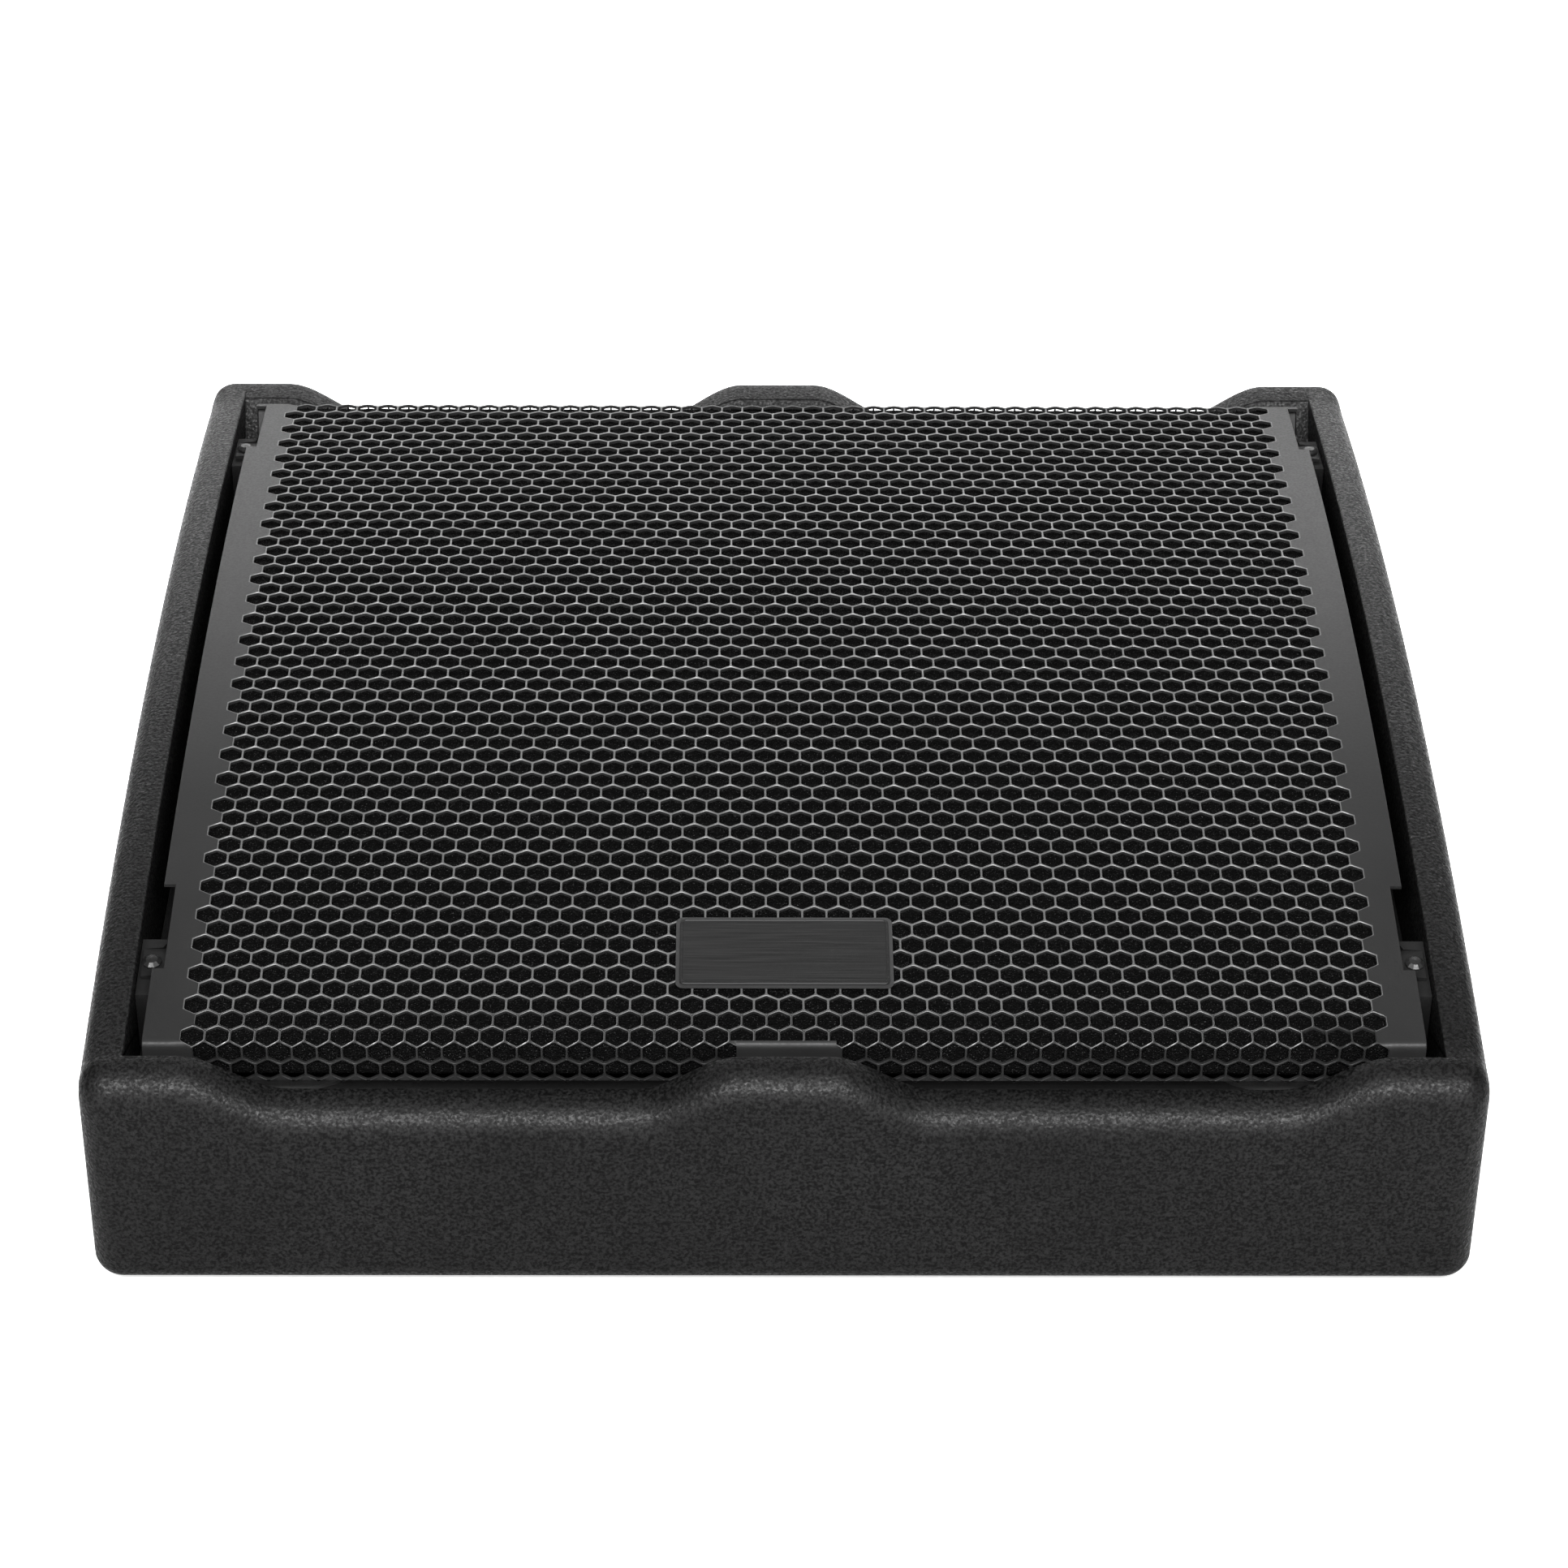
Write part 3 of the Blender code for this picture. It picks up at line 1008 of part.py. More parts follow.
# ---- driver lead --------------------------------------------------------------------------------
def driver_lead(basket_frame):
    """The lead from the circuit board to the driver's terminals, held at both ends inside the box."""
    near = AMP_FACE + AMP_SHEET + BOARD_BEHIND + BOARD_SHEET + SEAM
    start = rear_frame(0.060, AMP_Z - 0.030, near).translation
    end = basket_frame @ Vector((0, BASKET_WAIST + SEAM, -BASKET_DEPTH + 0.006))
    out = basket_frame.to_3x3() @ Vector((0, 1, 0))
    inward = Vector((0, -1, 0))
    straight = 2 * LEAD_RADIUS
    handles = [start + inward * straight, start + inward * 0.05, end + out * 0.035, end + out * straight]
    steps = 12
    points = [start]
    for i in range(steps + 1):
        t = i / steps
        weights = ((1 - t) ** 3, 3 * t * (1 - t) ** 2, 3 * t * t * (1 - t), t ** 3)
        points.append(sum((w * p for w, p in zip(weights, handles)), Vector()))
    points.append(end)
    curve = bpy.data.curves.new("driver_lead", "CURVE")
    curve.dimensions = "3D"
    curve.bevel_depth = LEAD_RADIUS
    curve.bevel_resolution = 2
    curve.use_fill_caps = True
    spline = curve.splines.new("POLY")
    spline.points.add(len(points) - 1)
    for point, place in zip(spline.points, points):
        point.co = (*place, 1)
    curve.materials.append(RUBBER)
    PARTS.objects.link(bpy.data.objects.new("driver_lead", curve))


# ---- assembly -----------------------------------------------------------------------------------
def build():
    for name, side in (("left", -1), ("right", 1)):
        hand_frame = side_panel(name + "_side_panel", side)
        handle_cup(name + "_handle_cup", hand_frame)
        port_tube(name + "_port_tube", side)
        grille_rib(name + "_grille_rib", side)
    front_panel()
    rear_panel()
    bottom_panel()
    feet()
    baffle_board()
    grille_panel()
    grille_screws()
    grille_foam()
    badge_plate()
    driver = seat_frame(DRIVER_ALONG, BAFFLE_DEPTH)
    driver_basket(driver)
    driver_soft_parts(driver)
    coil_end = moving_cone(driver)
    pole_top, floor = motor(driver, coil_end)
    high_driver(driver, pole_top, floor)
    driver_bolts(driver)
    amp_panel()
    amp_screws()
    heatsink()
    amp_electronics()
    kinds = {"signal_input": "latched", "signal_link": "pins", "mains_inlet": "core", "mains_link": "core"}
    for name, x in SOCKET_PLACES.items():
        socket(name, x, kinds[name])
    socket_latch()
    level_control()
    preset_control()
    driver_lead(driver)


build()
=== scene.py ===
import math

import bpy
import numpy as np
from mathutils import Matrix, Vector


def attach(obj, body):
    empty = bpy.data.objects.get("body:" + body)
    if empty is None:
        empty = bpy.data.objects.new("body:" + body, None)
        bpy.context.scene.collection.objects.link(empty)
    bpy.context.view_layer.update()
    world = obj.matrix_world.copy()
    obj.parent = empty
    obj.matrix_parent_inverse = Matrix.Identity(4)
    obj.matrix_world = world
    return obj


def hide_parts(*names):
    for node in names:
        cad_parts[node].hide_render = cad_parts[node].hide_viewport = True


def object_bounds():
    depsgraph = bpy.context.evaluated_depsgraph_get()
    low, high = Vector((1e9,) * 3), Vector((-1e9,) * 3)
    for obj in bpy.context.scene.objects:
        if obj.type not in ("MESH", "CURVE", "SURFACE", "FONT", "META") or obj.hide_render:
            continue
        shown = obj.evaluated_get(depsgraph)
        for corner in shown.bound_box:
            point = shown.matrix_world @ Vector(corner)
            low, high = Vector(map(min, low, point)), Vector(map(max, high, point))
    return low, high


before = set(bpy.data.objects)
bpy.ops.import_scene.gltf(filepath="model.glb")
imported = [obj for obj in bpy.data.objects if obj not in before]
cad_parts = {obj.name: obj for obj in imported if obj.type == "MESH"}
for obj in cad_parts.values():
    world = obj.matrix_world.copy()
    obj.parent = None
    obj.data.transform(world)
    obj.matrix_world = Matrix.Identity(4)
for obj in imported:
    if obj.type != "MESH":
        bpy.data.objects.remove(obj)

cad_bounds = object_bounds()

# Camera and studio. A long lens stands a little above the stage, slightly left of the middle. The floor runs
# back into a white sweep, under two soft boxes, a low strip in front and a lamp on the sweep. Floor and sky
# are brighter to the camera than to the wedge, so that the ground stays white round a black box.
CAMERA_PLACE = (-0.01847, -1.92619, 0.37058)
CAMERA_TURN = (84.5183, -0.1686, -0.5777)
CAMERA_LENS, CAMERA_SENSOR = 98.87, 36.0
camera_data = bpy.data.cameras.new("camera")
camera_data.sensor_width = CAMERA_SENSOR
camera_data.lens = CAMERA_LENS
camera_data.dof.use_dof = False
camera = bpy.data.objects.new("camera", camera_data)
camera.location = CAMERA_PLACE
camera.rotation_euler = [math.radians(angle) for angle in CAMERA_TURN]
bpy.context.scene.collection.objects.link(camera)
bpy.context.scene.camera = camera
bpy.context.scene.view_settings.view_transform = "Standard"


def surface(name, points, faces, body="cabinet", slot=None, sharp=None, turn_over=False):
    """A piece from points (n, 3) and faces (m, 4) or (m, 3), or a list of such arrays; equal corners make a
    triangle. Shaded smooth, with edges sharper than the given angle in degrees kept sharp. Turned over, each
    face lists its corners the other way round, as a mirrored piece needs."""
    groups = faces if isinstance(faces, list) else [faces]
    order = -1 if turn_over else 1
    polygons = [list(dict.fromkeys(face)) for group in groups for face in group[:, ::order].tolist()]
    mesh = bpy.data.meshes.new(name)
    mesh.from_pydata(np.asarray(points, float).tolist(), [], [face for face in polygons if len(face) > 2])
    mesh.validate()
    mesh.shade_smooth()
    if sharp is not None:
        mesh.set_sharp_from_angle(angle=math.radians(sharp))
    mesh.update()
    piece = bpy.data.objects.new(name, mesh)
    bpy.context.scene.collection.objects.link(piece)
    if body:
        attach(piece, body)
    return piece


def grid_faces(rows, columns, wrap_rows=False, wrap_columns=False, start=0):
    """Quads of a rows by columns grid of points numbered row by row, closed round where wrapped."""
    row = np.arange(rows if wrap_rows else rows - 1)[:, None]
    column = np.arange(columns if wrap_columns else columns - 1)[None, :]
    below, beside = (row + 1) % rows, (column + 1) % columns
    corners = [row * columns + column, row * columns + beside,
               below * columns + beside, below * columns + column]
    return start + np.stack([np.broadcast_to(c, (row.size, column.size)).ravel() for c in corners], 1)


STAGE_HALF = 6.0
SWEEP_RADIUS = 2.5
SWEEP_START = 2.5
sweep_turn = np.linspace(0, math.pi / 2, 24)
floor_y = np.concatenate([[-STAGE_HALF], SWEEP_START + SWEEP_RADIUS * np.sin(sweep_turn),
                          [SWEEP_START + SWEEP_RADIUS]])
floor_z = np.concatenate([[0.0], SWEEP_RADIUS * (1 - np.cos(sweep_turn)), [2 * STAGE_HALF]])
floor_x = np.array([-STAGE_HALF, STAGE_HALF])
floor_points = np.stack([np.tile(floor_x, floor_y.size), np.repeat(floor_y, 2), np.repeat(floor_z, 2)], 1)
floor = surface("studio_floor", floor_points, grid_faces(floor_y.size, 2), body=None)
floor_paint = bpy.data.materials.new("studio_white")
floor_paint.use_nodes = True
floor_shader = floor_paint.node_tree.nodes["Principled BSDF"]
floor_shader.inputs["Base Color"].default_value = (0.93, 0.93, 0.93, 1)
floor_shader.inputs["Roughness"].default_value = 0.9
floor_shader.inputs["Specular IOR Level"].default_value = 0.1
floor_shader.inputs["Emission Color"].default_value = (1, 1, 1, 1)
floor.data.materials.append(floor_paint)


def lit_when_seen(tree, strength_socket, plain, seen):
    """Set a strength to plain for the light that reaches the object and to seen where the camera looks."""
    rays = tree.nodes.new("ShaderNodeLightPath")
    strength = tree.nodes.new("ShaderNodeMapRange")
    strength.inputs["To Min"].default_value = plain
    strength.inputs["To Max"].default_value = seen
    tree.links.new(rays.outputs["Is Camera Ray"], strength.inputs["Value"])
    tree.links.new(strength.outputs["Result"], strength_socket)


FLOOR_GLOW_SEEN = 0.65
SKY_LIGHT, SKY_SEEN = 0.13, 1.0
lit_when_seen(floor_paint.node_tree, floor_shader.inputs["Emission Strength"], 0.0, FLOOR_GLOW_SEEN)

world = bpy.data.worlds.new("studio")
world.use_nodes = True
sky = world.node_tree.nodes["Background"]
sky.inputs["Color"].default_value = (1, 1, 1, 1)
lit_when_seen(world.node_tree, sky.inputs["Strength"], SKY_LIGHT, SKY_SEEN)
bpy.context.scene.world = world


def soft_box(name, place, aim, width, height, power):
    """A rectangular area light at a place, turned to face the aim point: sizes in metres, power in watts."""
    data = bpy.data.lights.new(name, "AREA")
    data.shape = "RECTANGLE"
    data.size = width
    data.size_y = height
    data.energy = power
    lamp = bpy.data.objects.new(name, data)
    lamp.location = place
    lamp.rotation_euler = (Vector(aim) - lamp.location).to_track_quat("-Z", "Y").to_euler()
    bpy.context.scene.collection.objects.link(lamp)


soft_box("top_back_light", (0.0, 1.5, 2.1), (0.0, 0.0, 0.2), 2.6, 1.4, 7)
soft_box("top_front_light", (0.0, -1.3, 2.4), (0.0, 0.0, 0.1), 2.4, 1.0, 7)
soft_box("front_strip_light", (0.0, -2.75, 0.95), (0.0, -0.25, 0.1), 3.0, 0.55, 200)
soft_box("backdrop_light", (0.0, 1.6, 2.6), (0.0, 4.0, 0.6), 5.0, 1.5, 420)

# Plywood box. Five birch boards, glued and filled so that no joint shows, then sprayed with a thick gritty
# water-based paint. The front lip and the rear lip dip between two corner pads and a middle hump.
TILT = math.radians(30.0)
FRONT_LEAN = math.radians(29.0)
TOP_CHORD = 0.555
FRONT_HEIGHT = 0.1008
ARCH_RADIUS = 1.689
PLY = 0.018
BASE_Z = 0.0015
FRONT_ROUND, BASE_ROUND, REAR_ROUND, SIDE_ROUND, INNER_ROUND = 0.0155, 0.009, 0.005, 0.012, 0.0014
SCALLOP_DEPTH, PAD_FLAT, PAD_END, HUMP_FLAT, HUMP_END = 0.0165, 0.021, 0.065, 0.018, 0.060
OUTER_HALF = cad_bounds[1].x
INNER_HALF = OUTER_HALF - PLY
REAR_Y = cad_bounds[1].y
FRONT_Y = REAR_Y - TOP_CHORD * math.cos(TILT)
FRONT_Z = BASE_Z + FRONT_HEIGHT * math.cos(FRONT_LEAN)
LIP_FRONT = PLY
LIP_REAR = TOP_CHORD - PLY / math.cos(TILT)
ARCH_MIDDLE = (LIP_FRONT + LIP_REAR) / 2
ARCH_DEPTH = math.sqrt(ARCH_RADIUS ** 2 - ((LIP_REAR - LIP_FRONT) / 2) ** 2)
UP_SLOPE = np.array([math.cos(TILT), math.sin(TILT)])
OUT_OF_LIPS = np.array([-math.sin(TILT), math.cos(TILT)])
DOWN_FACE = np.array([math.sin(FRONT_LEAN), -math.cos(FRONT_LEAN)])
# Outward directions of the lips' tops, the front, the base and the rear, as angles in the (y, z) plane.
LIP_ANGLE, FACE_ANGLE = math.pi / 2 + TILT, math.pi + FRONT_LEAN
BASE_ANGLE, BACK_ANGLE = 1.5 * math.pi, 2 * math.pi
# A corner keeps this much radius under any inset, and the flats beside it keep a short run of their own.
LEAST_ROUND, CORNER_RUN = 0.0006, 0.002


def seat(along, depth):
    """(y, z) of a point along the lips' plane from the front corner, and a depth square below it."""
    along, depth = np.broadcast_arrays(np.asarray(along, float), np.asarray(depth, float))
    corner = np.array([FRONT_Y, FRONT_Z])
    return corner + along[..., None] * UP_SLOPE - depth[..., None] * OUT_OF_LIPS


def direction(angle):
    """Unit (y, z) at an angle."""
    return np.stack([np.cos(angle), np.sin(angle)], -1)


def arch_points(along, below):
    """(y, z) on the arch, or on the concentric line the given distance below it."""
    depth = ARCH_DEPTH - np.sqrt((ARCH_RADIUS - below) ** 2 - (along - ARCH_MIDDLE) ** 2)
    return seat(along, depth)


def lip_drop(x):
    """How far a lip dips at x: a smooth step down from a pad or the hump to the scallop's floor."""
    distance = np.abs(x)
    pad = (INNER_HALF - PAD_FLAT - distance) / (PAD_END - PAD_FLAT)
    hump = (distance - HUMP_FLAT) / (HUMP_END - HUMP_FLAT)
    share = np.clip(np.minimum(pad, hump), 0, 1)
    return SCALLOP_DEPTH * share * share * (3 - 2 * share)


def round_corner(corner, angle_from, angle_to, radius, inset, steps):
    """Arc between two edges whose outward directions are given, both moved in by an inset. Its middle is the
    corner moved back along the sum of the two directions, and its radius is what the inset leaves."""
    left = np.maximum(radius - inset, LEAST_ROUND)
    first, last = direction(angle_from), direction(angle_to)
    middle = corner - (first + last) / (1 + first @ last) * (inset + left)
    turn = np.linspace(angle_from, angle_to, steps)
    along_first = np.array([first[1], -first[0]])
    along_last = np.array([-last[1], last[0]])
    arc = middle + left * direction(turn)
    return np.concatenate([[arc[0] + CORNER_RUN * along_first], arc, [arc[-1] + CORNER_RUN * along_last]])


corner_front = seat(0, 0)
corner_base = corner_front + FRONT_HEIGHT * DOWN_FACE
corner_back = np.array([REAR_Y, BASE_Z])
corner_rear = seat(TOP_CHORD, 0)


def outer_chain(inset):
    """The section's four outer corners in (y, z), from the front lip round under the box to the rear lip."""
    return [round_corner(corner_front, LIP_ANGLE, FACE_ANGLE, FRONT_ROUND, inset, 11),
            round_corner(corner_base, FACE_ANGLE, BASE_ANGLE, BASE_ROUND, inset, 8),
            round_corner(corner_back, BASE_ANGLE, BACK_ANGLE, BASE_ROUND, inset, 8),
            round_corner(corner_rear, BACK_ANGLE, LIP_ANGLE + 2 * math.pi, REAR_ROUND, inset, 8)]


def side_outline(inset, arch_inset):
    """A side board's outline: the outer corners, then the arch from the rear lip to the front lip."""
    places = np.linspace(LIP_REAR, LIP_FRONT, 60)
    return np.concatenate(outer_chain(inset) + [arch_points(places, inset + arch_inset)])


def polar_ring(loop, centre, angles):
    """Where rays from the centre at the given angles cross a closed loop (n, 2) that they each cross once."""
    start = loop - centre
    edge = np.roll(start, -1, 0) - start
    ray = direction(angles)[:, None]
    cross_edge = ray[..., 0] * edge[:, 1] - ray[..., 1] * edge[:, 0]
    cross_start = start[:, 0] * ray[..., 1] - start[:, 1] * ray[..., 0]
    with np.errstate(divide="ignore", invalid="ignore"):
        share = cross_start / cross_edge
        reach = (start[:, 0] * edge[:, 1] - start[:, 1] * edge[:, 0]) / cross_edge
    good = (share >= -1e-9) & (share <= 1 + 1e-9) & (reach > 0)
    return centre + np.where(good, reach, 0).max(1)[:, None] * direction(angles)


def rounded_rectangle(width, height, radius, centre=(0.0, 0.0), steps=9):
    """A rectangle's outline with round corners, counter-clockwise, (n, 2)."""
    quarter = np.arange(4)[:, None]
    turn = (quarter + np.linspace(0, 1, steps)[None, :]) * math.pi / 2
    signs = np.array([(1, 1), (-1, 1), (-1, -1), (1, -1)])
    inner = signs * (width / 2 - radius, height / 2 - radius)
    return (np.array(centre) + inner[:, None, :] + radius * direction(turn)).reshape(-1, 2)


def ring_between(outer, inner, centre):
    """Both loops crossed by the rays through every point of either, as two rings of the same count."""
    rays = np.concatenate([outer, inner]) - centre
    angles = np.unique(np.round(np.arctan2(rays[:, 1], rays[:, 0]), 9))
    return polar_ring(outer, centre, angles), polar_ring(inner, centre, angles)


HANDLE_MIDDLE = np.array([0.075, 0.120])
HANDLE_LENGTH, HANDLE_HEIGHT, HANDLE_DEPTH, HANDLE_RIM = 0.140, 0.080, 0.058, 0.010
HANDLE_SHEET = 0.003
REBATE_GAP, REBATE_CORNER, REBATE_FLOOR = 0.0004, 0.024, 0.002
# Flats on a side board's edge: the arch's, the run before the outer round, and the outer face's margin.
FLAT_START, FLAT_RUN, FACE_MARGIN = 0.004, 0.0015, 0.002

edge_turn = np.linspace(0, math.pi / 2, 5)
side_turn = np.linspace(0, math.pi / 2, 11)
# Each station across a side board: distance from the inner face, inset all round, inset of the arch alone.
station_x = np.concatenate([INNER_ROUND * (1 - np.cos(edge_turn)), [FLAT_START, PLY - SIDE_ROUND - FLAT_RUN],
                            PLY - SIDE_ROUND + SIDE_ROUND * np.sin(side_turn), [PLY]])
station_inset = np.concatenate([np.zeros(edge_turn.size + 2), SIDE_ROUND * (1 - np.cos(side_turn)),
                                [SIDE_ROUND + FACE_MARGIN]])
station_arch = np.concatenate([INNER_ROUND * (1 - np.sin(edge_turn)), np.zeros(side_turn.size + 3)])


def new_material(name, specular=0.5, metallic=0.0):
    """A material, a maker of its nodes, its Object coordinates, and a driver of its shader's sockets. What
    feeds a node is an output, or another node, which stands for its first output."""
    material = bpy.data.materials.new(name)
    material.use_nodes = True
    tree = material.node_tree
    shader = tree.nodes["Principled BSDF"]
    shader.inputs["Specular IOR Level"].default_value = specular
    shader.inputs["Metallic"].default_value = metallic

    def link(source, socket):
        tree.links.new(getattr(source, "outputs", [source])[0], socket)

    def add(kind, settings, *sources, **named):
        node = tree.nodes.new(kind)
        for key, value in settings.items():
            if hasattr(node, key) and key not in node.inputs:
                setattr(node, key, value)
            else:
                node.inputs[key].default_value = value
        for key, source in [*enumerate(sources), *named.items()]:
            link(source, node.inputs[key])
        return node

    def drive(socket, source):
        link(source, shader.inputs[socket])

    return material, add, add("ShaderNodeTexCoord", {}).outputs["Object"], drive


def ramp(add, source, low, high, start=0.3, end=0.7):
    """A value or grey that runs from low to high as the source runs from start to end."""
    settings = {"From Min": start, "From Max": end, "To Min": low, "To Max": high}
    return add("ShaderNodeMapRange", settings, source)


paint, add, place, drive = new_material("gritty_black_paint", specular=0.13)
grain = add("ShaderNodeTexNoise", {"Scale": 760.0, "Detail": 3.0, "Roughness": 0.6}, place)
lumps = add("ShaderNodeTexVoronoi", {"Scale": 640.0}, place)
clouds = add("ShaderNodeTexNoise", {"Scale": 14.0, "Detail": 3.0}, place)
grain_tone, cloud_tone = ramp(add, grain, 0.0002, 0.013, 0.40, 0.66), ramp(add, clouds, 0.85, 1.15)
drive("Base Color", add("ShaderNodeMath", {"operation": "MULTIPLY"}, grain_tone, cloud_tone))
drive("Roughness", ramp(add, grain, 0.56, 0.26, 0.42, 0.66))
bump_low = add("ShaderNodeBump", {"Strength": 0.6, "Distance": 0.00024}, Height=lumps)
drive("Normal", add("ShaderNodeBump", {"Strength": 0.6, "Distance": 0.00028}, Height=grain, Normal=bump_low))

INNER_FAN_MIDDLE = (0.0, 0.12)
for side_name, side in (("left", -1), ("right", 1)):
    rings = np.stack([side_outline(inset, arch) for inset, arch in zip(station_inset, station_arch)])
    across = np.broadcast_to(side * (INNER_HALF + station_x)[:, None], rings.shape[:2])
    skin = np.dstack([across, rings]).reshape(-1, 3)
    skin_faces = grid_faces(station_x.size, rings.shape[1], wrap_columns=True)
    rebate = rounded_rectangle(HANDLE_LENGTH + 2 * HANDLE_RIM + 2 * REBATE_GAP,
                               HANDLE_HEIGHT + 2 * HANDLE_RIM + 2 * REBATE_GAP, REBATE_CORNER,
                               HANDLE_MIDDLE)
    rim_out, rim_in = ring_between(rings[-1], rebate, HANDLE_MIDDLE)
    face_share = np.array([0.0, 0.5, 1.0, 1.0])[:, None, None]
    face_rings = rim_out + face_share * (rim_in - rim_out)
    face_x = side * np.array([OUTER_HALF] * 3 + [OUTER_HALF - HANDLE_SHEET - REBATE_FLOOR])
    face = np.dstack([np.broadcast_to(face_x[:, None], face_rings.shape[:2]), face_rings]).reshape(-1, 3)
    face_faces = grid_faces(4, len(rim_out), wrap_columns=True, start=len(skin))
    # The inner face is a fan of triangles from its outline to a point inside it.
    fan = np.vstack([rings[0], INNER_FAN_MIDDLE])
    inner = np.column_stack([np.full(len(fan), side * INNER_HALF), fan])
    first = len(skin) + len(face)
    spoke = first + np.arange(len(fan) - 1)
    cap = np.stack([np.roll(spoke, -1), spoke, np.full(len(spoke), first + len(spoke))], 1)
    board = surface(side_name + "_side_board", np.concatenate([skin, face, inner]),
                    [skin_faces, face_faces, cap], slot="textured_plywood", sharp=50, turn_over=side < 0)
    board.data.materials.append(paint)
    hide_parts(side_name + "_side_panel")

AMP_WIDTH, AMP_HEIGHT, AMP_MIDDLE_Z, AMP_POCKET, AMP_LEDGE = 0.320, 0.150, 0.145, 0.012, 0.010
POCKET_CORNER, LEDGE_CORNER = 0.006, 0.004
pad_steps = np.linspace(INNER_HALF - PAD_END, INNER_HALF - PAD_FLAT, 15)
hump_steps = np.linspace(HUMP_FLAT, HUMP_END, 15)
floor_steps = np.linspace(HUMP_END, INNER_HALF - PAD_END, 14)[1:-1]
half_x = np.concatenate([hump_steps, floor_steps, pad_steps, [INNER_HALF - PAD_FLAT / 2, INNER_HALF]])
belt_x = np.concatenate([-half_x[::-1], half_x])
drops = lip_drop(belt_x)


def lip_inner_edge(top, angle, down, depth):
    """A lip's small inner round and its inner face, in (y, z): from the top's end down to a depth."""
    turn = np.linspace(LIP_ANGLE, angle, 5)
    middle = top - INNER_ROUND * direction(LIP_ANGLE) - INNER_ROUND * direction(angle)
    arc = middle + INNER_ROUND * direction(turn)
    return np.concatenate([arc, [arc[-1] + depth * down]])


INNER_DEPTH = 0.060
chain = outer_chain(0.0)
front_edge = lip_inner_edge(seat(LIP_FRONT, 0), FACE_ANGLE - math.pi, DOWN_FACE, INNER_DEPTH)
rear_edge = lip_inner_edge(seat(LIP_REAR, 0), math.pi, np.array([0.0, -1.0]), INNER_DEPTH)
sections = [front_edge[::-1], *chain, rear_edge]
section = np.concatenate(sections)
counts = np.cumsum([len(part) for part in sections])
follow_front = np.zeros(len(section))
follow_front[1:counts[1]] = 1
follow_rear = np.zeros(len(section))
follow_rear[counts[3]:-1] = 1
belt = section[None] + drops[:, None, None] * (follow_front[:, None] * DOWN_FACE
                                               + follow_rear[:, None] * np.array([0.0, -1.0]))
belt_points = np.dstack([np.broadcast_to(belt_x[:, None], belt.shape[:2]), belt]).reshape(-1, 3)
belt_faces = grid_faces(belt_x.size, len(section)).reshape(belt_x.size - 1, len(section) - 1, 4)
rear_band = counts[3] - 1
keep = np.arange(len(section) - 1) != rear_band
belt_faces = belt_faces[:, keep].reshape(-1, 4)[:, ::-1]
# The rear face round the amplifier's pocket: the band between the rear's lower and upper round edges.
amp_middle = np.array([0.0, AMP_MIDDLE_Z])
lower, upper = belt[:, rear_band, 1], belt[:, rear_band + 1, 1]
rear_loop = np.concatenate([np.column_stack([belt_x, lower]), np.column_stack([belt_x, upper])[::-1]])
pocket = rounded_rectangle(AMP_WIDTH + 2 * REBATE_GAP, AMP_HEIGHT + 2 * REBATE_GAP, POCKET_CORNER, amp_middle)
rear_out, rear_in = ring_between(rear_loop, pocket, amp_middle)
ledge = rounded_rectangle(AMP_WIDTH - 2 * AMP_LEDGE, AMP_HEIGHT - 2 * AMP_LEDGE, LEDGE_CORNER, amp_middle)
ledge_ring = polar_ring(ledge, amp_middle, np.arctan2(rear_in[:, 1] - AMP_MIDDLE_Z, rear_in[:, 0]))
rear_levels = [(rear_out, 0.0), (rear_in, 0.0), (rear_in, AMP_POCKET), (ledge_ring, AMP_POCKET)]
rear_points = np.concatenate([np.column_stack([ring[:, 0], np.full(len(ring), REAR_Y - depth), ring[:, 1]])
                              for ring, depth in rear_levels])
rear_faces = grid_faces(4, len(rear_out), wrap_columns=True, start=len(belt_points))
boards = surface("front_base_and_rear_boards", np.concatenate([belt_points, rear_points]),
                 [belt_faces, rear_faces], slot="textured_plywood", sharp=50)
boards.data.materials.append(paint)
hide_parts("front_panel", "rear_panel", "bottom_panel")

# Grille. One sheet of mild steel, punched with staggered hexagons, rolled to an arch, folded down at front
# and rear, and powder coated. Blank margins down both sides have two notches each for the fixing lugs.
PITCH = 0.010
ROW_STEP = PITCH * math.sqrt(0.75)
CELLS_A_ROW = 48
GRILLE_SHEET, GRILLE_BELOW, LIP_GAP, FOLD_RADIUS = 0.0015, 0.0003, 0.0058, 0.003
GRILLE_HALF = INNER_HALF - 0.0067
REAR_FOLD, FRONT_FOLD = LIP_REAR - LIP_GAP, LIP_FRONT + LIP_GAP
FACE_RADIUS = ARCH_RADIUS - GRILLE_BELOW
FIRST_ROW, LAST_ROW = -4, 58
FIRST_DECK_ROW, LAST_DECK_ROW = 0, 54
# Lengths along the sheet count pitches from a line just in front of the rear fold to the front fold's line.
ROWS_START, ROWS_FRONT = 1.65, 49.0
REAR_FLANGE, FRONT_FLANGE = 0.0228, 0.0160
BAR_TOP, BAR, CHAMFER, HOLE_ROUND = 0.00050, 0.00092, 0.00025, 0.00055
PLAIN_MIDDLE, PLAIN_FROM, PLAIN_CENTRE = 0.020, 48.75, PITCH / 20
TAB_PROUD, TAB_FINE = 0.00008, 0.006
# Punched cells in the folded rows ahead of the three rows that turn over the folds.
TURNING_ROWS = 3
CELLS_BEFORE_TURN = 3 * CELLS_A_ROW - 3 * 4


def arch_angle(along):
    """Angle from the arch's crown to a place along the chord, positive towards the rear."""
    return np.arcsin((along - ARCH_MIDDLE) / FACE_RADIUS)


